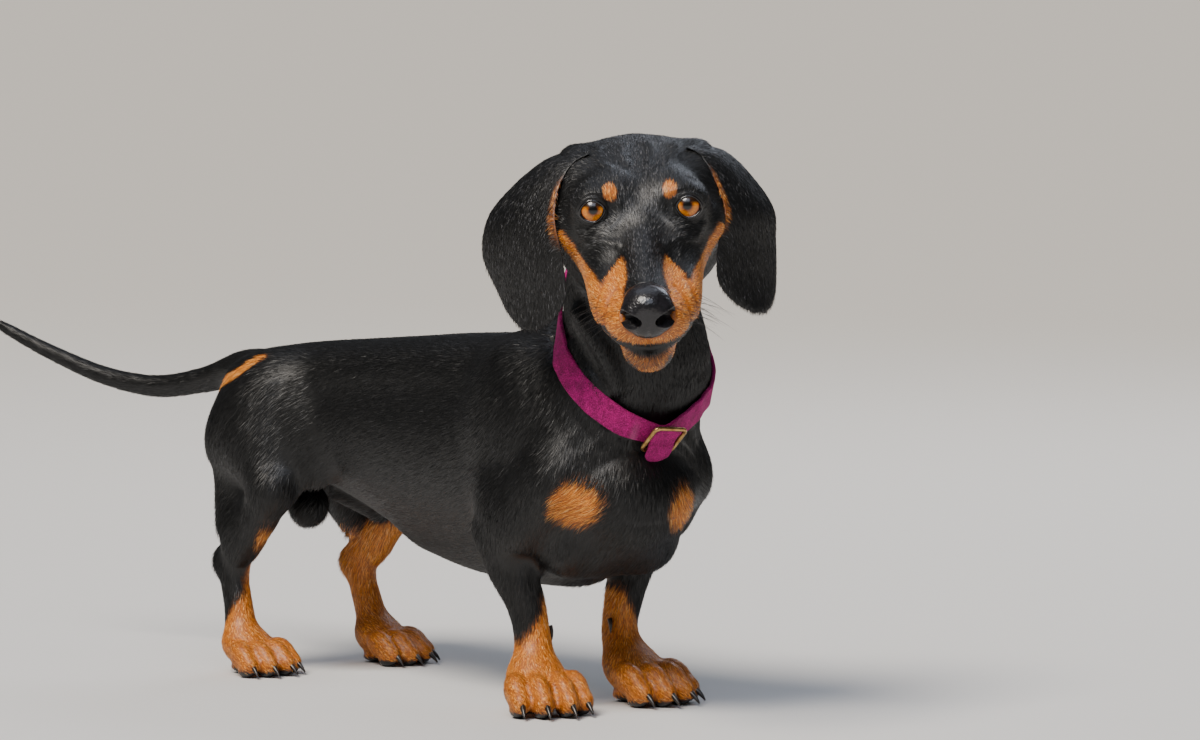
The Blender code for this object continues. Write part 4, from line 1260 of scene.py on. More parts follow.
def claw_material():
    """Dark horn that grew in fine lengthwise layers, with a dull polish from walking."""
    made, add, shader = new_material("dark claw horn", Roughness=0.33, IOR=1.54, Coat_Weight=0.1)
    where = add("TexCoord", {}, "Object")
    # Layers of horn are finer than 0.5 mm; they are drawn in streaks of 2.2 mm
    streaks = add(
        "TexNoise", {"Vector": where, "Scale": 1 / (2.2 * MM), "Detail": 4.0, "Distortion": 1.5}, "Fac"
    )
    horn = add(
        "ValToRGB", {"Fac": streaks}, "Color", ((0.25, "0E0B09"), (0.6, "241C16"), (0.85, "4A3B2E"))
    )
    rough = add("Bump", {"Height": streaks, "Strength": 0.3, "Distance": 0.15 * MM}, "Normal")
    feed(shader, {"Base Color": horn, "Normal": rough})
    return made


def strap_material():
    """Felted magenta strap: dull and softly napped, paler where it has worn on its edges."""
    made, add, shader = new_material(
        "felted magenta wool", Roughness=0.8, Sheen_Weight=0.12, Sheen_Roughness=0.5,
        Sheen_Tint="FF8AC8", Specular_IOR_Level=0.3,
    )
    where = add("TexCoord", {}, "Object")
    # Wool is 0.03 mm thick; the nap is drawn at 0.7 mm, and the patches where it lies over at 5 mm
    fibres = add("TexNoise", {"Vector": where, "Scale": 1 / (0.7 * MM), "Detail": 5.0}, "Fac")
    patches = add("TexNoise", {"Vector": where, "Scale": 1 / (5 * MM), "Detail": 3.0}, "Fac")
    tone = add(
        "ValToRGB", {"Fac": fibres}, "Color", ((0.3, "6E0046"), (0.52, "AA066C"), (0.75, "D62496"))
    )
    cloudy = add("ValToRGB", {"Fac": patches}, "Color", ((0.35, "9A9A9A"), (0.65, "FFFFFF")))
    felt = add(
        "Mix", {0: 0.5, FIRST: tone, SECOND: cloudy}, MIXED, data_type="RGBA", blend_type="MULTIPLY"
    )
    share = add("Attribute", {}, "Fac", attribute_name="worn")
    worn = add("Mix", {0: share, FIRST: felt, SECOND: "E58AB8"}, MIXED, data_type="RGBA")
    rough = add("Bump", {"Height": fibres, "Strength": 0.7, "Distance": 0.35 * MM}, "Normal")
    feed(shader, {"Base Color": worn, "Normal": rough})
    return made


def brass_material():
    """Brushed brass wire, satin and a little tarnished in clouds."""
    made, add, shader = new_material("satin brass", Metallic=1.0, Roughness=0.34)
    where = add("TexCoord", {}, "Object")
    # Brushing leaves lines of 0.05 mm; they are drawn at 0.3 mm, and the tarnish in clouds of 4 mm
    tarnish = add("TexNoise", {"Vector": where, "Scale": 1 / (4 * MM), "Detail": 4.0}, "Fac")
    tone = add(
        "ValToRGB", {"Fac": tarnish}, "Color", ((0.25, "8F6B3C"), (0.6, "C7A368"), (0.85, "DDBE86"))
    )
    fine = add("TexNoise", {"Vector": where, "Scale": 1 / (0.3 * MM), "Detail": 2.0}, "Fac")
    rough = add("Bump", {"Height": fine, "Strength": 0.12, "Distance": 0.05 * MM}, "Normal")
    feed(shader, {"Base Color": tone, "Normal": rough})
    return made




def floor_material(colour):
    """Matt painted board: pale, even and without shine."""
    return new_material("pale matt paint", Roughness=0.9, Base_Color=(*colour, 1.0))[0]


def smooth_shaded(mesh):
    mesh.polygons.foreach_set("use_smooth", [True] * len(mesh.polygons))


def finished(name, mesh, material, slot, *nodes):
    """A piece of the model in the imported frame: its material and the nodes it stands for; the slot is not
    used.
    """
    smooth_shaded(mesh)
    mesh.transform(Matrix.Translation(MOVE))
    obj = new_object(name, mesh, material)
    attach(obj, "root")
    if nodes:
        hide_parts(*nodes)
    return obj


def unwrapped(obj):
    """Unwraps the skin's own shape on to a map named OFBake."""
    obj.data.uv_layers.new(name="OFBake")
    bpy.context.view_layer.objects.active = obj
    obj.select_set(True)
    bpy.ops.object.mode_set(mode="EDIT")
    bpy.ops.mesh.select_all(action="SELECT")
    bpy.ops.uv.smart_project(angle_limit=math.radians(75), island_margin=0.001)
    bpy.ops.object.mode_set(mode="OBJECT")
    obj.select_set(False)


def sink_under_nose(verts):
    """Draws the skin back where the nose leather covers it, so that the nostrils stay open."""
    places = places_of(verts)
    covered = part(-surface_field(nose_forms()[0], places), 1.6 * MM)
    places += (np.array(on_head(78, 0, -27)) - places) * (0.6 * covered)[:, None]
    put(verts, places)


def drawn_skin(body, eyes):
    """The skin's mesh: settled on the forms, finer on the face, with lids, lips, folds and ears."""
    forms = body_forms()
    grooves = face_grooves(forms)
    forms += loose_skin(forms)
    bm = bmesh_of(remeshed(rough_lumps(forms), body.first_voxel))
    settle(bm, bm.verts[:], forms, (), body, 6)
    bm = bmesh_of(remeshed(mesh_from(bm, "skin"), body.voxel))
    settle(bm, bm.verts[:], forms, (), body, 3)
    face = refine(bm, on_head(38, 0, -20), 78 * MM)
    settle(bm, face, forms, grooves, body, 2)
    for side in (LEFT, RIGHT):
        near = refine(bm, eye_centre(side) + lid_frame(side)[2] * 8 * MM, 15 * MM)
        settle(bm, near, forms, grooves, body, 2)
    muzzle = refine(bm, on_head(88, 0, -42), 22 * MM)
    settle(bm, muzzle, forms, grooves, body, 2)
    open_lids(bm, [vert for vert in bm.verts if (vert.co - HEAD_PLACE).length < 50 * MM], eyes)
    sink_under_nose([vert for vert in bm.verts if (vert.co - on_head(88, 0, -26)).length < 24 * MM])
    for vert in bm.verts:
        vert.co.z = max(vert.co.z, 0.5 * MM)
    bmesh.ops.triangulate(bm, faces=[face for face in bm.faces if len(face.verts) > 4])
    mesh = mesh_from(bm, "skin")
    trees = {}
    for side in (LEFT, RIGHT):
        ear = ear_mesh(side, body)
        trees[side] = tree_of(ear)
        mesh = joined_with(mesh, ear)
    return mesh, trees


def ear_amount(points, trees):
    """1 on an ear, 0 elsewhere, for both sides together, and which side it is."""
    found = np.zeros(len(points))
    for side, tree in trees.items():
        near = np.linalg.norm(points - np.array(on_head(-32, side * 62, -20)), axis=1) < 70 * MM
        for i in np.nonzero(near)[0]:
            distance = tree.find_nearest(Vector(points[i]), 2 * MM)[3]
            if distance is not None and distance < 0.4 * MM:
                found[i] = side
    return found


def paint(mesh, eyes, trees):
    """Stores the markings, the bare skin and the ears on the skin's vertices."""
    points = points_of(mesh)
    head = in_head(points)
    tan = markings(points)
    ears = ear_amount(points, trees)
    for side in (LEFT, RIGHT):
        on_ear = ears == side
        across, down = ear_share(points[on_ear], side)
        strip = part(across - 0.8, 0.06) * part(down - 0.2, 0.08)
        strip *= part(0.54 - down, 0.08)
        # The tan strip inside the ear gets only 0.42 of full tan: painted shade, where the ear's fold shades
        # it
        tan[on_ear] = 0.42 * strip
    bare = np.where(head[:, 2] > -75, lip_and_shade_share(head, 0.4), 0)
    for side in (LEFT, RIGHT):
        distance, share, around, heading = polar_at_eye(points, side, eyes)
        rim = (distance < 14 * MM) & (share < 1.25)
        bare = np.maximum(bare, np.where(rim, part(1.22 - share, 0.08), 0))
        tan = np.where((distance < 15 * MM) & (share < 1.5), 0, tan)
    bare = np.maximum(bare, part(5 * MM - points[:, 2], MM))
    store(mesh, "tan", tan)
    store(mesh, "bare", bare)
    store(mesh, "ear", ears)


class DACHSHUND_OT_skin(bpy.types.Operator):
    """Draw one skin over the whole body, its face finest"""

    bl_idname = "dachshund.skin"
    bl_label = "Skin"

    def execute(self, context):
        scene = context.scene
        mesh, trees = drawn_skin(scene.dachshund_body, scene.dachshund_eyes)
        paint(mesh, scene.dachshund_eyes, trees)
        skin = finished("skin", mesh, hide_material(), "black_coat", *FLESH)
        unwrapped(skin)
        return {"FINISHED"}


def ball_mesh(name, centre, radius, rounds):
    bm = bmesh.new()
    bmesh.ops.create_icosphere(bm, subdivisions=rounds, radius=radius, matrix=Matrix.Translation(centre))
    return mesh_from(bm, name)


def gaze_frame(side, stage):
    """The eye's axes when it looks at the camera: aside, up, and out through the pupil."""
    camera = camera_place(stage)
    out = (camera - MOVE - Vector(eye_centre(side))).normalized()
    aside = Vector((0, 0, 1)).cross(out).normalized()
    return np.array([aside, out.cross(aside), out])


def eyeball_mesh(side, eyes, stage):
    """An eyeball with its raised cornea, and a flat map that faces along the gaze."""
    centre = eye_centre(side)
    mesh = ball_mesh("eyeball", centre, eyes.radius, 5)
    points = points_of(mesh)
    axes = gaze_frame(side, stage)
    local = (points - centre) @ axes.T
    away = np.arctan2(np.hypot(local[:, 0], local[:, 1]), local[:, 2])
    raised = 0.7 * MM * np.clip(1 - (away / math.radians(44)) ** 2, 0, 1) ** 1.5
    local *= (1 + raised / eyes.radius)[:, None]
    mesh.vertices.foreach_set("co", (local @ axes + centre).astype(np.float32).ravel())
    flat = local[:, :2] / (20 * MM) + 0.5
    behind = local[:, 2] < 0
    flat[behind] = 0.02
    layer = mesh.uv_layers.new(name="gaze")
    corners = rows_of(mesh.loops, "vertex_index", 1, np.int32)[:, 0]
    layer.data.foreach_set("uv", flat[corners].astype(np.float32).ravel())
    return mesh


def tube(bm, centres, radii, sides=10, closed=True):
    """A round tube along points, its own way round kept from twisting."""
    count = len(centres)
    loops = []
    for i, (centre, radius) in enumerate(zip(centres, radii)):
        before = centres[i - 1] if closed or i > 0 else centre
        after = centres[(i + 1) % count] if closed or i < count - 1 else centre
        along = (after - before).normalized()
        turn = along.to_track_quat("Z", "Y").to_matrix().to_4x4()
        ring = bmesh.ops.create_circle(
            bm, segments=sides, radius=radius, matrix=Matrix.Translation(centre) @ turn
        )["verts"]
        inside = set(ring)
        linked = {edge for vert in ring for edge in vert.link_edges}
        loops.append([edge for edge in linked if set(edge.verts) <= inside])
    bridged(bm, loops, closed)


def lid_path(side, eyes, share, radius, start=0, end=2 * math.pi, count=64, whole=True):
    """Points round the opening, at a share of its size and a distance from the eye's centre."""
    axes = lid_frame(side)
    centre = eye_centre(side)
    found = []
    for around in np.linspace(start, end, count, endpoint=not whole):
        away = opening_angle(around, eyes) * share
        heading = axes[2] * math.cos(away)
        heading = heading + (axes[0] * math.cos(around) + axes[1] * math.sin(around)) * math.sin(away)
        found.append(Vector(centre + heading * radius))
    return found


class DACHSHUND_OT_eyes(bpy.types.Operator):
    """Make the eyeballs, the wet rims of the lids and the film of tears on the lower ones, pale with a
    painted glint
    """

    bl_idname = "dachshund.eyes"
    bl_label = "Eyes and lids"

    def execute(self, context):
        eyes, stage = context.scene.dachshund_eyes, context.scene.dachshund_stage
        eye_look, lid_look = eye_material(), lid_material()
        # The film of tears is clear; its pale base colour is a painted glint along the lower lids
        tears = new_material(
            "tear film, painted glint", Roughness=0.05, IOR=1.34, Coat_Weight=1.0, Coat_Roughness=0.02, Base_Color="B8AFAE"
        )[0]
        for name, side in SIDES.items():
            ball = eyeball_mesh(side, eyes, stage)
            finished("eyeball_" + name, ball, eye_look, "eye", "eye_" + name)
            bm = bmesh.new()
            path = lid_path(side, eyes, 1.0, eyes.radius + 0.35 * MM)
            turns = np.linspace(0, 2 * math.pi, len(path), endpoint=False)
            radii = eyes.rim * (1 + 0.25 * np.cos(turns + math.pi + CORNER_DROP) ** 8)
            tube(bm, path, radii)
            finished("lid_rim_" + name, mesh_from(bm, "rim"), lid_look, "nose_leather")
            bm = bmesh.new()
            start, end = math.radians(195), math.radians(350)
            path = lid_path(side, eyes, 0.925, eyes.radius + 0.12 * MM, start, end, 30, False)
            tube(bm, path, 0.3 * MM * np.sin(np.linspace(0.15, math.pi - 0.15, 30)), 8, False)
            finished("tear_film_glint_" + name, mesh_from(bm, "film"), tears, "eye")
        return {"FINISHED"}


def nose_forms():
    """The nose leather's own forms: tip, wings and the shelf below, and its nostrils as grooves."""
    forms = [
        head_ball((88.6, 0, -24.4), (11.6, 14.6, 12.6), 4),
        head_ball((83, 0, -18), (13, 12.5, 8), 6),
        head_ball((90, 0, -31), (8.6, 10, 7), 4),
    ]
    philtrum = [((101, 0, -29), 0.3, 0.8), ((98.5, 0, -34), 0.5, 1.0), ((95, 0, -39), 0.5, 1.0)]
    grooves = [head_strand(philtrum, 1.4)]
    for side in (LEFT, RIGHT):
        forms.append(head_ball((91, side * 9, -24.5), (8.4, 6.6, 8.2), 3))
        nostril = [
            ((98, side * 7.5, -25.4), 2.2, 2.4),
            ((97.5, side * 10.0, -26.0), 1.6, 1.7),
            ((94.5, side * 13.0, -25.2), 0.8, 0.8),
            ((89.5, side * 15.6, -23.2), 0.5, 0.4),
        ]
        grooves.append(head_strand(nostril, 1.0, 24))
        grooves.append(head_ball((96, side * 7.2, -25.2), (8, 3.6, 2.8), 0.8, (side * 10, 0, 0)))
    return forms, grooves


class DACHSHUND_OT_nose(bpy.types.Operator):
    """Make the nose leather with its nostrils and pebbles"""

    bl_idname = "dachshund.nose"
    bl_label = "Nose"

    def execute(self, context):
        forms, grooves = nose_forms()
        centre = np.array(on_head(88, 0, -26))
        mesh = ball_mesh("nose", Vector(centre), 4 * MM, 6)
        points = points_of(mesh)
        heading = points - centre
        heading /= np.linalg.norm(heading, axis=1)[:, None]
        reach = np.full(len(points), 4 * MM)
        for _ in range(40):
            reach -= 0.6 * surface_field(forms, centre + heading * reach[:, None], grooves)
            reach = np.clip(reach, 3 * MM, 20 * MM)
        places = centre + heading * reach[:, None]
        pebble = [noise.voronoi(Vector(place) / (1.15 * MM))[0][0] for place in places]
        local = in_head(places)
        level = part(local[:, 0] - 80, 4) * 0.16 * MM
        places -= heading * (np.clip(np.array(pebble), 0, 0.8) * level)[:, None]
        mesh.vertices.foreach_set("co", places.astype(np.float32).ravel())
        mesh.update()
        finished("nose_pad", mesh, nose_material(), "nose_leather", "nose")
        return {"FINISHED"}


def foot_places():
    """Where each foot stands: its limb and side, the centre of its sole, its heading and size."""
    for name, side in SIDES.items():
        reach = FORE_STANCE[side]
        heading = math.degrees(spine_heading(300 * MM)) + side * FOOT_TURN_OUT
        yield "fore", name, on_spine(316 + reach, side * 39, 0), heading, 1.0
    for name, side in SIDES.items():
        foot = HIND_STANCE[side][2]
        yield "hind", name, on_spine(foot[0] + 6, side * foot[1], 0), side * 6, HIND_FOOT_SCALE


CLAW_BEND = math.radians(42)
CLAW_LENGTH = 15.5 * MM
CLAW_RADIUS = 2.5 * MM


def claw_mesh(place, heading, pitch, scale):
    """A curved claw with a ridged back and a blunt, worn point."""
    bm = bmesh.new()
    turn = Matrix.Rotation(heading, 4, "Z") @ Matrix.Rotation(pitch, 4, "Y")
    axes = Matrix.Translation(place) @ turn
    shares = np.linspace(0, 1, 22)
    centres, radii = [], []
    for share in shares:
        bend = share * CLAW_BEND
        length = (CLAW_LENGTH - 0.8 * MM) * scale / CLAW_BEND
        centres.append(axes @ Vector((math.sin(bend) * length, 0, (math.cos(bend) - 1) * length)))
        growth = 1 + 0.03 * math.sin(share * 60)
        radii.append(CLAW_RADIUS * scale * (1 - 0.8 * share**1.4) * growth)
    tube(bm, centres, radii, 14, closed=False)
    return mesh_from(bm, "claw")


class DACHSHUND_OT_claws(bpy.types.Operator):
    """Make a claw for every toe and both dewclaws"""

    bl_idname = "dachshund.claws"
    bl_label = "Claws"

    def execute(self, context):
        horn = claw_material()
        for limb, name, place, heading, scale in foot_places():
            turn = Matrix.Rotation(math.radians(heading), 3, "Z")
            for toe, (forward, left, splay) in enumerate(TOES, start=1):
                root = place + turn @ Vector((forward + 8, left * 1.06, 10)) * MM * scale
                facing = math.radians(heading + splay)
                claw = claw_mesh(root, facing, math.radians(12), scale)
                node = f"claw_{limb}_{name}_{toe}"
                finished(node + "_horn", claw, horn, "claw", node)
        for name, side in SIDES.items():
            root = on_spine(305 + FORE_STANCE[side], side * 25, 50)
            facing = spine_heading(300 * MM) - side * math.radians(12)
            claw = claw_mesh(root, facing, math.radians(60), 0.6)
            node = f"claw_fore_{name}_dew"
            finished(node + "_horn", claw, horn, "claw", node)
        return {"FINISHED"}


def collar_frame(angle):
    """Outward and up directions of the collar's plane, at an angle from the throat to the left."""
    forward = Vector((math.cos(COLLAR_TURN), math.sin(COLLAR_TURN), 0))
    side = Vector((-forward.y, forward.x, 0))
    front = forward * math.cos(COLLAR_SLOPE) - Vector((0, 0, math.sin(COLLAR_SLOPE)))
    outward = front * math.cos(angle) + side * math.sin(angle)
    return outward, front.cross(side).normalized()


def body_tree():
    """The solids of neck, trunk, head and jaw, which the collar lies on, in the dog's own frame."""
    bm = bmesh.new()
    for name in ("neck", "trunk", "head", "lower_jaw"):
        bm.from_mesh(frame["nodes"][name].data)
    bm.transform(Matrix.Translation(-MOVE))
    tree = BVHTree.FromBMesh(bm)
    bm.free()
    return tree


def collar_reach(tree, collar):
    """How far both edges of the collar are from its middle, clear of the skin, round the neck."""
    angles = np.linspace(0, 2 * math.pi, COLLAR_STEPS, endpoint=False)
    ahead = np.abs(np.cos(angles)) / collar.front
    aside = np.abs(np.sin(angles)) / collar.side
    loop = (ahead**COLLAR_BULGE + aside**COLLAR_BULGE) ** (-1 / COLLAR_BULGE)
    edges = []
    for shift in (-collar.width / 2, 0, collar.width / 2):
        found = []
        for angle in angles:
            outward, up = collar_frame(angle)
            start = COLLAR_CENTRE + up * shift
            hit = tree.ray_cast(start + outward * 120 * MM, -outward)
            found.append((hit[0] - start).dot(outward) - 1.2 * MM)
        found = np.maximum(found, loop)
        shifts = [np.roll(found, k) for k in range(-2, 3)]
        edges.append(np.maximum(np.mean(shifts, axis=0), found))
    low, middle, high = edges
    lift = np.maximum(middle - (low + high) / 2, 0)
    lift = np.max([np.roll(lift, k) for k in (-1, 0, 1)], axis=0)
    return low + lift, high + lift


def round_value(rows, place):
    """A smooth value between samples that go round."""
    step = math.floor(place)
    t = place - step
    a, b, c, d = (rows[(step + k) % len(rows)] for k in (-1, 0, 1, 2))
    bend = 2 * a - 5 * b + 4 * c - d
    return 0.5 * (2 * b + (c - a) * t + bend * t * t + (3 * b - a - 3 * c + d) * t**3)


def collar_section(reach, angle, collar):
    """The collar's inner edges at an angle, and the direction off the skin there."""
    outward, up = collar_frame(angle)
    place = angle / (2 * math.pi) * COLLAR_STEPS
    points = []
    for edge, shift in zip(reach, (-collar.width / 2, collar.width / 2)):
        points.append(COLLAR_CENTRE + up * shift + outward * round_value(edge, place))
    across = (points[1] - points[0]).normalized()
    away = (outward - across * outward.dot(across)).normalized()
    return points[0], points[1], away


def rounded_outline(half_wide, half_high, corner, steps):
    """Points round a rectangle with rounded corners, from its right side over the top."""
    for x, y, start in ((1, 1, 0), (-1, 1, 90), (-1, -1, 180), (1, -1, 270)):
        for k in range(steps):
            turn = math.radians(start + 90 * k / (steps - 1))
            right = x * (half_wide - corner) + corner * math.cos(turn)
            up = y * (half_high - corner) + corner * math.sin(turn)
            yield right, up


def strap_outline(wide, thick, corner):
    """The strap's section with rounded edges, as (across, off) points."""
    return [(x, y + thick / 2) for x, y in rounded_outline(wide / 2, thick / 2, corner, 5)]


def buckle_frame(reach, collar):
    """The buckle's own axes: round the neck, up across the strap, and away from it."""
    bottom, top, away = collar_section(reach, collar.buckle_place, collar)
    across = (top - bottom).normalized()
    axes = Matrix((across.cross(away), across, away)).transposed().to_4x4()
    centre = (bottom + top) / 2 + away * collar.thickness
    return Matrix.Translation(centre) @ axes @ Matrix.Rotation(collar.buckle_roll, 4, "Z")


STRAP_STEPS = 260
# Worn pale spots: angle round the loop in degrees from its lowest point, and place across the strap
WORN_SPOTS = ((-37, -2, 2.6), (-14, -5, 3.0), (52, 3, 2.4), (-62, 5, 2.0), (128, 4, 2.6), (-150, -4, 2.6))


def strap_mesh(reach, collar):
    """The strap as one soft closed band that gives a little along its length."""
    bm = bmesh.new()
    outline = strap_outline(collar.width - 0.6 * MM, collar.thickness - 0.3 * MM, 0.9 * MM)
    rings = []
    for i in range(STRAP_STEPS):
        angle = 2 * math.pi * i / STRAP_STEPS
        bottom, top, away = collar_section(reach, angle, collar)
        across = (top - bottom).normalized()
        middle = (top + bottom) / 2
        ring = []
        for x, off in outline:
            sag = 0.25 * MM * noise.noise(Vector((math.cos(angle) * 6, math.sin(angle) * 6, x / (9 * MM))))
            crease = math.exp(-(((math.degrees(angle) - 44) / 16) ** 2))
            dent = crease * 1.1 * MM * bump(x, 1.5 * MM, 1.6 * MM) if off > collar.thickness / 2 else 0
            ring.append(middle + across * (x + sag) + away * (off + 0.1 * MM + sag - dent))
        rings.append(ring)
    swept(bm, rings, closed=True)
    return mesh_from(bm, "strap")


def wear(mesh, reach, collar):
    """Marks the pale rubbed spots of the strap."""
    points = points_of(mesh)
    worn = np.zeros(len(points))
    for degrees, across_mm, radius in WORN_SPOTS:
        bottom, top, away = collar_section(reach, math.radians(degrees % 360), collar)
        across = (top - bottom).normalized()
        spot = (top + bottom) / 2 + across * across_mm * MM + away * collar.thickness
        gap = np.linalg.norm(points - np.array(spot), axis=1) / (radius * MM)
        worn = np.maximum(worn, np.clip(1.2 - gap, 0, 1) * 0.55)
    store(mesh, "worn", worn)


TONGUE_THICKNESS = 2.2
TONGUE_HANG = (
    # along the frame, off the strap, half width
    (8, 1.6, 6.5), (4, 1.7, 8.6), (-1, 2.2, 8.8), (-5, 4.2, 8.8), (-10, 5.7, 8.4),
    (-13.5, 5.5, 7), (-16, 5.2, 4.4), (-17, 5.1, 1.6),
)


def tongue_mesh(reach, collar):
    """The strap's free end, with rounded edges and a rounded tip."""
    bm = bmesh.new()
    rings = []
    for along, off, wide in smooth_through(TONGUE_HANG, 40):
        outline = strap_outline((wide - 0.3) * 2 * MM, (TONGUE_THICKNESS - 0.2) * MM, 0.7 * MM)
        middle = Vector((0, along, off - TONGUE_THICKNESS / 2)) * MM
        rings.append([middle + Vector((x, 0, z)) for x, z in outline])
    swept(bm, rings, closed=False)
    bm.transform(buckle_frame(reach, collar))
    mesh = mesh_from(bm, "tongue")
    store(mesh, "worn", np.zeros(len(mesh.vertices)))
    return mesh


BUCKLE_CORNER = 3.2 * MM


def buckle_mesh(reach, collar):
    """A square frame of round wire with rounded corners."""
    bm = bmesh.new()
    radius = collar.wire / 2 - 0.1 * MM
    half_long = collar.buckle_length / 2 - collar.wire / 2
    half_high = collar.buckle_height / 2 - collar.wire / 2
    outline = rounded_outline(half_long, half_high, BUCKLE_CORNER, 9)
    path = [Vector((x, y, collar.lift)) for x, y in outline]
    tube(bm, path, [radius] * len(path), 16)
    bm.transform(buckle_frame(reach, collar))
    return mesh_from(bm, "buckle")


class DACHSHUND_OT_collar(bpy.types.Operator):
    """Make the strap, its free end and the brass frame"""

    bl_idname = "dachshund.collar"
    bl_label = "Collar and buckle"

    def execute(self, context):
        collar = context.scene.dachshund_collar
        reach = collar_reach(body_tree(), collar)
        felt = strap_material()
        strap = strap_mesh(reach, collar)
        wear(strap, reach, collar)
        tongue = tongue_mesh(reach, collar)
        finished("strap", strap, felt, "strap", "collar_strap")
        finished("strap_end", tongue, felt, "strap", "collar_tongue")
        finished("buckle", buckle_mesh(reach, collar), brass_material(), "buckle", "collar_buckle")
        return {"FINISHED"}


# How the hair lies: at a place it goes one way, for so many millimetres round
# Along the middle of the head, in its own millimetres and directions
MIDDLE_LIE = (
    ((84, 0, -12), (-1, 0, 0.1), 14), ((50, 0, -8), (-1, 0, 0.1), 18), ((15, 0, 0), (-1, 0, 0.3), 18),
    ((-15, 0, 18), (-1, 0, 0.1), 22), ((-60, 0, 18), (-1, 0, -0.3), 26), ((90, 0, -45), (-0.2, 0, -1), 9),
    ((82, 0, -62), (-1, 0, -0.3), 14), ((40, 0, -64), (-1, 0, 0), 20), ((0, 0, -72), (-1, 0, -0.4), 24),
)
# On the left of the head; the right is its mirror image
FACE_LIE = (
    ((78, 15, -30), (-0.8, 0.5, -0.5), 13), ((55, 20, -28), (-1, 0.25, -0.25), 16),
    ((30, 25, -28), (-1, 0.2, -0.2), 16), ((60, 22, -44), (-0.8, 0.1, -0.5), 12),
    ((13, 27, -12), (-0.6, 0.8, -0.5), 10), ((12, 14, -6), (-0.5, 0.7, -0.2), 9),
    ((6, 18, 12), (-0.6, 0.2, 0.8), 9), ((0, 38, 4), (-0.9, 0.2, 0.2), 12),
    ((-12, 36, -16), (-1, 0.1, -0.3), 18), ((-34, 38, -40), (-0.8, 0, -0.7), 22),
    ((-40, 30, 14), (-0.7, 0.7, -0.2), 16), ((10, 20, -58), (-1, 0, -0.1), 16),
)
# On the left of trunk and legs: along the spine, left of it and up
TRUNK_LIE = (
    ((362, 18, 150), (0.1, 0.25, -1), 26), ((366, 34, 128), (-0.5, 0.8, -0.25), 16),
    ((356, 26, 104), (-0.4, 0.3, -1), 22), ((310, 55, 165), (-0.6, 0, -0.8), 36),
    ((250, 62, 160), (-1, 0, -0.35), 45), ((170, 58, 150), (-1, 0, -0.3), 45),
    ((95, 50, 160), (-0.9, 0, -0.5), 36), ((50, 58, 150), (-0.55, 0, -0.85), 32),
    ((15, 40, 150), (-0.5, 0, -0.9), 26), ((300, 58, 110), (-0.5, 0, -1), 28),
    ((300, 45, 70), (-0.2, 0, -1), 26), ((305, 38, 40), (-0.05, 0, -1), 20),
    ((330, 39, 18), (1, 0, -0.5), 20), ((80, 56, 108), (-0.3, 0, -1), 24),
    ((45, 48, 80), (-0.6, 0, -1), 22), ((30, 47, 50), (0, 0, -1), 20), ((60, 48, 15), (1, 0, -0.5), 20),
)
# Down the neck from the skull to the shoulders and the breast, in the dog's own frame
NECK_LIE = (
    ((215, -70, 255), (0.1, -0.1, -1), 26), ((218, -62, 215), (0.1, -0.1, -1), 26),
    ((200, -10, 250), (0.0, 0.2, -1), 28), ((190, 0, 205), (0.0, 0.2, -1), 30),
    ((165, -90, 250), (-0.2, -0.1, -1), 28), ((160, -85, 205), (-0.3, -0.1, -1), 30),
    ((125, -30, 260), (-0.5, 0.1, -1), 30), ((110, -20, 225), (-0.9, 0.1, -0.6), 30),
)
EAR_LIE_REACH, TAIL_LIE_REACH, MIDDLE_LIE_REACH = 26, 24, 34


def lie_guides():
    """Places with the way the hair lies there, and how far each reaches in millimetres."""
    guides = []

    def on_head_at(place, way, reach, side=LEFT):
        mirror = (1, side, 1)
        placed = [a * b for a, b in zip(place, mirror)]
        turned = [a * b for a, b in zip(way, mirror)]
        guides.append((on_head(*placed), head_direction(*turned), reach))

    def on_trunk_at(place, way, reach, side=LEFT):
        mirror = (1, side, 1)
        placed = [a * b for a, b in zip(place, mirror)]
        turned = [a * b for a, b in zip(way, mirror)]
        guides.append((on_spine(*placed), spine_direction(place[0], *turned), reach))

    for row in MIDDLE_LIE:
        on_head_at(*row)
    for side in (LEFT, RIGHT):
        for row in FACE_LIE:
            on_head_at(*row, side)
        for place in ear_rows(side, 5)[0][1:]:
            guides.append((Vector(place), Vector((0, 0, -1)), EAR_LIE_REACH))
        for row in TRUNK_LIE:
            on_trunk_at(*row, side)
    for along in (20, 90, 160, 230, 290):
        on_trunk_at((along, 0, 215), (-1, 0, 0), MIDDLE_LIE_REACH)
    for along in (120, 190, 260, 320):
        on_trunk_at((along, 0, 78), (-1, 0, 0), MIDDLE_LIE_REACH)
    on_trunk_at((10, 0, 140), (-0.3, 0, -1), 22)
    for first, second in zip(TAIL, TAIL[1:]):
        middle = (first[0] + second[0]) / 2
        guides.append((middle, (second[0] - first[0]).normalized(), TAIL_LIE_REACH))
    for place, way, reach in NECK_LIE:
        guides.append((Vector(place) * MM, Vector(way).normalized(), reach))
    return guides


def lie_of_coat(points, normals):
    """The way the hair lies at each point, along the skin."""
    total = np.zeros_like(points)
    for place, way, reach in lie_guides():
        gap = ((points - np.array(place)) ** 2).sum(axis=1)
        weight = np.exp(-gap / (2 * (reach * 0.55 * MM) ** 2)) + 1e-7 / (gap / MM**2 + 100)
        total += weight[:, None] * np.array(way)[None]
    total -= normals * (total * normals).sum(axis=1)[:, None]
    return total / np.maximum(np.linalg.norm(total, axis=1), 1e-9)[:, None]


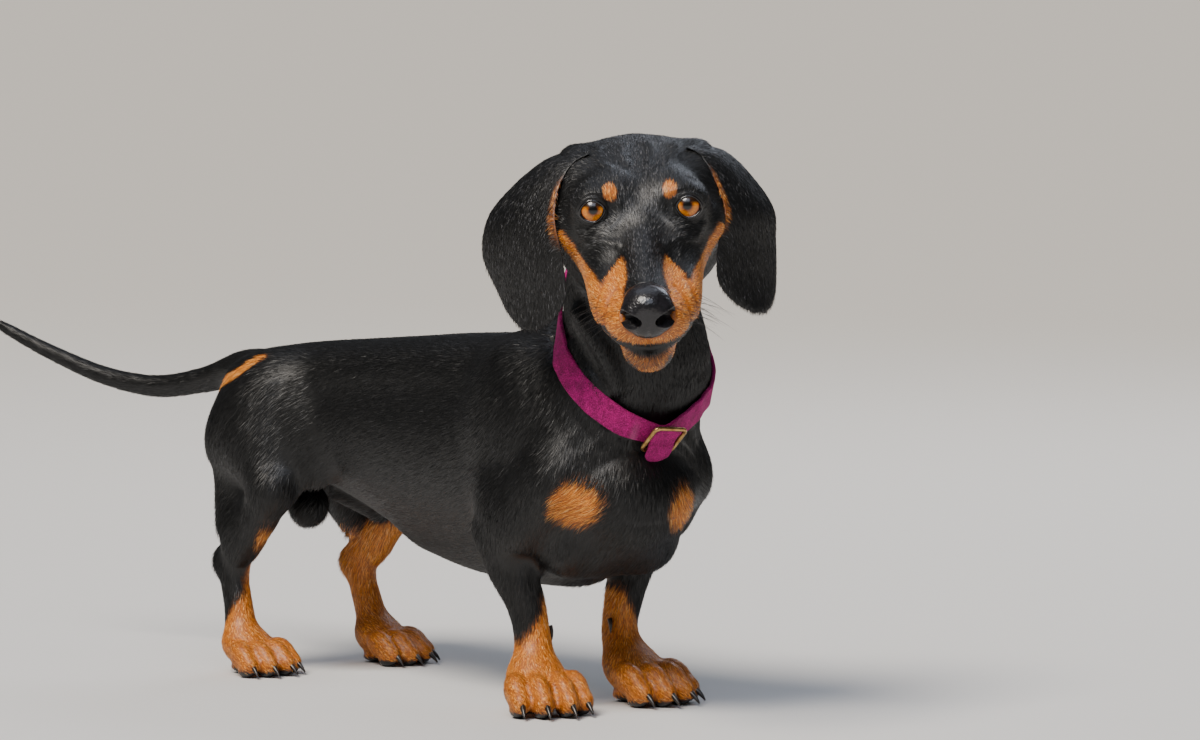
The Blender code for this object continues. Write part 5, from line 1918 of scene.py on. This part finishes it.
class SkinSamples:
    """The skin's triangles, and even places on them for tufts to root."""

    def __init__(self, skin):
        mesh = skin.data
        mesh.calc_loop_triangles()
        self.corners = rows_of(mesh.loop_triangles, "vertices", 3, np.int32)
        loops = rows_of(mesh.loop_triangles, "loops", 3, np.int32)
        self.points = points_of(mesh) - np.array(MOVE)
        self.normals = rows_of(mesh.vertices, "normal", 3).astype(float)
        self.flat = rows_of(mesh.uv_layers["OFBake"].data, "uv", 2)[loops]
        self.values = {}
        for name in ("tan", "bare", "ear"):
            self.values[name] = rows_of(mesh.attributes[name].data, "value", 1)[:, 0].astype(float)
        a, b, c = (self.points[self.corners[:, k]] for k in range(3))
        self.areas = np.linalg.norm(np.cross(b - a, c - a), axis=1) / 2
        self.middles = (a + b + c) / 3

    def take(self, weights, count, rng):
        """Even places: point, normal, place on the map, and the stored values, for count tufts."""
        steps = np.cumsum(weights * self.areas)
        picks = (np.arange(count) + 0.5 + rng.uniform(-0.4, 0.4, count)) / count * steps[-1]
        index = np.minimum(np.searchsorted(steps, picks), len(steps) - 1)
        first, second = rng.random(count), rng.random(count)
        over = first + second > 1
        first[over], second[over] = 1 - first[over], 1 - second[over]
        share = np.stack([1 - first - second, first, second], axis=1)[:, :, None]
        corners = self.corners[index]
        point = (self.points[corners] * share).sum(axis=1)
        normal = (self.normals[corners] * share).sum(axis=1)
        normal /= np.linalg.norm(normal, axis=1)[:, None]
        flat = (self.flat[index] * share).sum(axis=1)
        values = {name: (rows[corners] * share[:, :, 0]).sum(axis=1) for name, rows in self.values.items()}
        return point, normal, flat, values


def joined_mesh(name, places, faces, flats, normals, values):
    """One mesh from rows of corners, triangles, a map, shading normals and values at the corners."""
    mesh = bpy.data.meshes.new(name)
    mesh.vertices.add(len(places))
    mesh.vertices.foreach_set("co", places.astype(np.float32).ravel())
    mesh.loops.add(len(faces) * 3)
    mesh.loops.foreach_set("vertex_index", faces.astype(np.int32).ravel())
    mesh.polygons.add(len(faces))
    mesh.polygons.foreach_set("loop_start", np.arange(len(faces), dtype=np.int32) * 3)
    layer = mesh.uv_layers.new(name="OFBake")
    layer.data.foreach_set("uv", flats[faces.ravel()].astype(np.float32).ravel())
    for title, rows in values.items():
        store(mesh, title, rows)
    mesh.update(calc_edges=True)
    mesh.validate()
    smooth_shaded(mesh)
    mesh.normals_split_custom_set_from_vertices(normals)
    return mesh


PATCH = 0.003


def tuft_mesh(name, root, normal, way, flat, length, width, lift, facing, values):
    """Tufts as closed three-sided spikes that lie back along the skin and are lit as it is."""
    across = np.cross(normal, way)
    root = root - normal * (lift * 0.3)[:, None]
    places, flats, shading = [], [], []
    for x, z in ((-0.5, -0.1), (0.5, -0.1), (0.0, 0.22)):
        places.append(root + across * (width * x)[:, None] + normal * (width * z)[:, None])
        flats.append(flat + np.array([x, -0.5]) * PATCH)
        shading.append(normal + across * (x * 0.5) + facing)
    places.append(root + way * length[:, None] + normal * (lift * 1.3)[:, None])
    flats.append(flat + np.array([0, 0.5]) * PATCH)
    shading.append(normal + facing)
    per = len(places)
    shading = np.stack(shading, axis=1).reshape(-1, 3)
    shading /= np.linalg.norm(shading, axis=1)[:, None]
    places = np.stack(places, axis=1).reshape(-1, 3)
    flats = np.stack(flats, axis=1).reshape(-1, 2)
    faces = np.array([(0, 2, 1), (0, 1, 3), (1, 2, 3), (2, 0, 3)])
    faces = (faces[None] + (np.arange(len(root)) * per)[:, None, None]).reshape(-1, 3)
    spread = {title: np.repeat(rows, per) for title, rows in values.items()}
    return joined_mesh(name, places, faces, np.clip(flats, 0, 1), shading, spread)


def fineness(points, ears):
    """1 where the coat is finest, on the face, ears and feet, falling to 0 on the body."""
    face = np.linalg.norm(points - np.array(on_head(15, 0, -25)), axis=1)
    fine = part(130 * MM - face, 45 * MM)
    fine = np.maximum(fine, part(64 * MM - points[:, 2], 28 * MM))
    return np.maximum(fine, np.abs(ears) * 0.85)


def under_strap(points, reach, collar):
    """1 for a point that the strap covers."""
    outward, up = collar_frame(0)
    side = collar_frame(math.pi / 2)[0]
    offset = points - np.array(COLLAR_CENTRE)
    height = offset @ np.array(up)
    angle = np.arctan2(offset @ np.array(side), offset @ np.array(outward))
    gap = np.hypot(offset @ np.array(side), offset @ np.array(outward))
    place = (angle % (2 * math.pi)) / (2 * math.pi) * COLLAR_STEPS
    inner = np.interp(place, np.arange(COLLAR_STEPS + 1), np.append(reach[0], reach[0][0]))
    outer = np.interp(place, np.arange(COLLAR_STEPS + 1), np.append(reach[1], reach[1][0]))
    edge = np.maximum(inner, outer) + collar.thickness
    return (np.abs(height) < collar.width / 2 - 0.5 * MM) & (gap < edge + 2 * MM) & (gap > edge - 24 * MM)


def coat_region(points, ears):
    """A number for the part of the body that each point is on, by which the coat is split."""
    head, spine = in_head(points), in_spine(points)
    along, left, up = spine.T
    region = np.where(along < 62, 5, np.where(along < 125, 10, np.where(along < 190, 4, 11)))
    region = np.where(along > 250, 3, region)
    region = np.where((along > 250) & (up > 165), 2, region)
    region = np.where(along < -16, 6, region)
    region = np.where(up < 60, 7, region)
    above = (head[:, 0] > -62) & (head[:, 2] > -70) & (up > 205)
    region = np.where(above, 1, region)
    region = np.where(above & (head[:, 0] > 22), 0, region)
    region = np.where(ears > 0.5, 8, region)
    return np.where(ears < -0.5, 9, region)


REGIONS = (
    "muzzle", "skull", "neck", "chest", "back", "rump", "tail", "feet", "ear_left", "ear_right",
    "loin", "ribs",
)


class DACHSHUND_OT_coat(bpy.types.Operator):
    """Lay the short coat over the skin in fine tufts that follow the lie of the hair"""

    bl_idname = "dachshund.coat"
    bl_label = "Coat"

    def execute(self, context):
        coat, collar = context.scene.dachshund_coat, context.scene.dachshund_collar
        rng = np.random.default_rng(SEED)
        samples = SkinSamples(bpy.data.objects["skin"])
        middles = samples.middles
        ears = samples.values["ear"][samples.corners].mean(axis=1)
        bare = samples.values["bare"][samples.corners].mean(axis=1)
        fine = fineness(middles, ears)
        reach = collar_reach(body_tree(), collar)
        hair = hair_material()
        covered = under_strap(middles, reach, collar)
        grown = (bare < 0.6) & (middles[:, 2] > 1.5 * MM) & ~covered
        nose, nostrils = nose_forms()
        sorts = (
            ("fine", fine * grown, coat.fine_tufts, coat.fine, coat.fine_width, 0.1),
            ("long", (1 - fine) * grown, coat.body_tufts, coat.length, coat.width, 0.075),
        )
        for sort, weights, count, length, width, rise in sorts:
            root, normal, flat, values = samples.take(weights, count, rng)
            way = lie_of_coat(root, normal)
            own = fineness(root, values["ear"])
            stray = rng.normal(0, 0.1, count) + 0.12 * wobble(root, 9 * MM, 4)
            way = way + np.cross(normal, way) * stray[:, None]
            way /= np.linalg.norm(way, axis=1)[:, None]
            shorter = 1.55 - 0.55 * own if sort == "fine" else 1.0 - 0.35 * own
            long = length * rng.uniform(0.75, 1.25, count) * shorter
            high = rise * long * rng.uniform(0.5, 1.5, count)
            wide = width * rng.uniform(0.75, 1.2, count) * shorter**0.5
            ragged = wobble(root, 2.2 * MM, 2) * 0.3 + rng.normal(0, 0.1, count)
            ragged *= np.clip(values["tan"] * 5, 0.1, 1)
            tan = part(values["tan"] + ragged - 0.5, 0.42, 0.5)
            region = coat_region(root, values["ear"])
            # Tone differs at random from tuft to tuft; painted sheen lifts tufts on face and ears towards
            # the light grey top of the ramps
            chance = np.clip(rng.random(count) * 0.97 + 0.17 * painted_sheen(root, values["ear"]), 0, 1)
            clear = surface_field(nose, root) > 0.6 * MM
            facing = rng.normal(0, 1, (count, 3)) * np.where(own > 0.5, 0.24, 0.14)[:, None] - way * 0.06
            for number, region_name in enumerate(REGIONS):
                here = (region == number) & clear
                if here.sum() < 20:
                    continue
                told = {"tan": tan[here], "chance": chance[here]}
                rows = (part_of[here] for part_of in (root, normal, way, flat, long, wide, high, facing))
                mesh = tuft_mesh("coat", *rows, told)
                finished(f"coat_{sort}_{region_name}", mesh, hair, "black_coat")
        return {"FINISHED"}


class DACHSHUND_OT_whiskers(bpy.types.Operator):
    """Set long stiff whiskers into the muzzle"""

    bl_idname = "dachshund.whiskers"
    bl_label = "Whiskers"

    def execute(self, context):
        rng = np.random.default_rng(SEED + 1)
        stiff = new_material("stiff whisker hair", Roughness=0.35, IOR=1.55, Base_Color="1B1614")[0]
        tree = tree_of(bpy.data.objects["skin"].data)
        bm = bmesh.new()
        for side in (LEFT, RIGHT):
            for forward, up in whisker_places():
                start = on_head(forward, side * 40, up)
                hit = tree.ray_cast(start + MOVE, -head_direction(0, side, 0))
                if hit[0] is None:
                    continue
                root = hit[0] - MOVE
                way = head_direction(rng.uniform(-0.8, -0.3), side, rng.uniform(-0.8, -0.2)).normalized()
                length = rng.uniform(14, 30) * MM
                points, radii = [], []
                for t in np.linspace(0, 1, 9):
                    droop = head_direction(-0.6, 0, -1) * (0.28 * t * t * length)
                    points.append(root + way * (t * length) + droop - way * 0.6 * MM)
                    radii.append(0.13 * MM * (1 - 0.85 * t))
                tube(bm, points, radii, 5, closed=False)
        finished("whiskers", mesh_from(bm, "whiskers"), stiff, "black_coat")
        return {"FINISHED"}


# On the level, towards the photo's camera and to the right of its picture
TO_CAMERA, TO_RIGHT, UP = Vector((0.682, -0.731, 0)), Vector((0.731, 0.682, 0)), Vector((0, 0, 1))


def camera_place(stage):
    """Where the camera stands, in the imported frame: in front of the eyes and above the floor."""
    place = HEAD_PLACE + MOVE + TO_CAMERA.normalized() * stage.distance
    place -= TO_RIGHT.normalized() * stage.aside
    place.z = stage.height
    return place


def aimed(name, data, place, way):
    """A camera or light at a place, turned to look along a way."""
    obj = new_object(name, data)
    obj.location = place
    obj.rotation_euler = way.to_track_quat("-Z", "Y").to_euler()
    return obj


def light(name, kind, power, colour, place, way):
    lamp = bpy.data.lights.new(name, kind)
    lamp.energy = power
    lamp.color = linear(colour)[:3]
    aimed(name, lamp, place, way)
    return lamp


# Large soft panels that face the dog: where each stands, its width and height, watts and colour
PANELS = {
    "sky window": (TO_CAMERA * 1.9 + UP * 2.1 - TO_RIGHT * 0.1, (2.0, 1.1), 24, "DDE9FF"),
    "top panel": (UP * 2.6 - TO_CAMERA * 0.5, (2.2, 1.6), 11, "E4ECFF"),
    "rim panel": (TO_RIGHT * 1.0 - TO_CAMERA * 1.8 + UP * 1.7, (1.4, 0.8), 16, "E8F0FF"),
}
PANELS_FACE = Vector((0, 0, 0.15))
SUN_FROM = UP * 1.25 + TO_CAMERA * 0.75 - TO_RIGHT * 0.55


class DACHSHUND_OT_stage(bpy.types.Operator):
    """Set the pale floor, the soft lights and the camera"""

    bl_idname = "dachshund.stage"
    bl_label = "Stage"

    def execute(self, context):
        stage = context.scene.dachshund_stage
        bm = bmesh.new()
        bmesh.ops.create_circle(bm, cap_ends=True, segments=96, radius=60.0)
        floor = new_object("floor", mesh_from(bm, "floor"), floor_material(stage.floor))
        lens = bpy.data.cameras.new("camera")
        lens.sensor_width = 36
        lens.lens = stage.lens
        lens.clip_end = 200
        looks = Vector((-TO_CAMERA.x, -TO_CAMERA.y, -math.tan(stage.down)))
        context.scene.camera = aimed("camera", lens, camera_place(stage), looks)
        sun = light("sun", "SUN", stage.sun, "FFF6EA", Vector(), -SUN_FROM)
        sun.angle = math.radians(26)
        for name, (place, size, power, colour) in PANELS.items():
            panel = light(name, "AREA", power, colour, place, PANELS_FACE - place)
            panel.shape = "RECTANGLE"
            panel.size, panel.size_y = size
        world = bpy.data.worlds.new("room")
        world.use_nodes = True
        feed(world.node_tree.nodes["Background"], {"Color": "E3E8F0", "Strength": stage.room})
        context.scene.world = world
        return {"FINISHED"}


class DACHSHUND_PT_panel(bpy.types.Panel):
    """Sizes and steps of the dachshund"""

    bl_idname = "DACHSHUND_PT_panel"
    bl_label = "Dachshund"
    bl_space_type = "VIEW_3D"
    bl_region_type = "UI"
    bl_category = "Dachshund"

    def draw(self, context):
        for group, steps in PANEL_ROWS:
            box = self.layout.box()
            settings = getattr(context.scene, group)
            for name in settings.__annotations__:
                box.prop(settings, name)
            for step in steps:
                box.operator(step)


GROUPS = {
    "dachshund_body": BodySettings,
    "dachshund_eyes": EyeSettings,
    "dachshund_coat": CoatSettings,
    "dachshund_collar": CollarSettings,
    "dachshund_stage": StageSettings,
}
PANEL_ROWS = (
    ("dachshund_body", ("dachshund.skin", "dachshund.nose", "dachshund.claws")),
    ("dachshund_eyes", ("dachshund.eyes",)),
    ("dachshund_coat", ("dachshund.coat", "dachshund.whiskers")),
    ("dachshund_collar", ("dachshund.collar",)),
    ("dachshund_stage", ("dachshund.stage",)),
)
OPERATORS = (
    DACHSHUND_OT_skin, DACHSHUND_OT_eyes, DACHSHUND_OT_nose, DACHSHUND_OT_claws, DACHSHUND_OT_collar,
    DACHSHUND_OT_coat, DACHSHUND_OT_whiskers, DACHSHUND_OT_stage,
)


def register():
    for group in GROUPS.values():
        bpy.utils.register_class(group)
    for name, group in GROUPS.items():
        setattr(bpy.types.Scene, name, PointerProperty(type=group))
    for operator in OPERATORS:
        bpy.utils.register_class(operator)
    bpy.utils.register_class(DACHSHUND_PT_panel)


def unregister():
    bpy.utils.unregister_class(DACHSHUND_PT_panel)
    for operator in reversed(OPERATORS):
        bpy.utils.unregister_class(operator)
    for name, group in GROUPS.items():
        delattr(bpy.types.Scene, name)
        bpy.utils.unregister_class(group)


def main():
    register()
    bpy.ops.dachshund.skin()
    bpy.ops.dachshund.eyes()
    bpy.ops.dachshund.nose()
    bpy.ops.dachshund.claws()
    bpy.ops.dachshund.collar()
    bpy.ops.dachshund.coat()
    bpy.ops.dachshund.whiskers()
    bpy.ops.dachshund.stage()


if __name__ == "__main__":
    main()
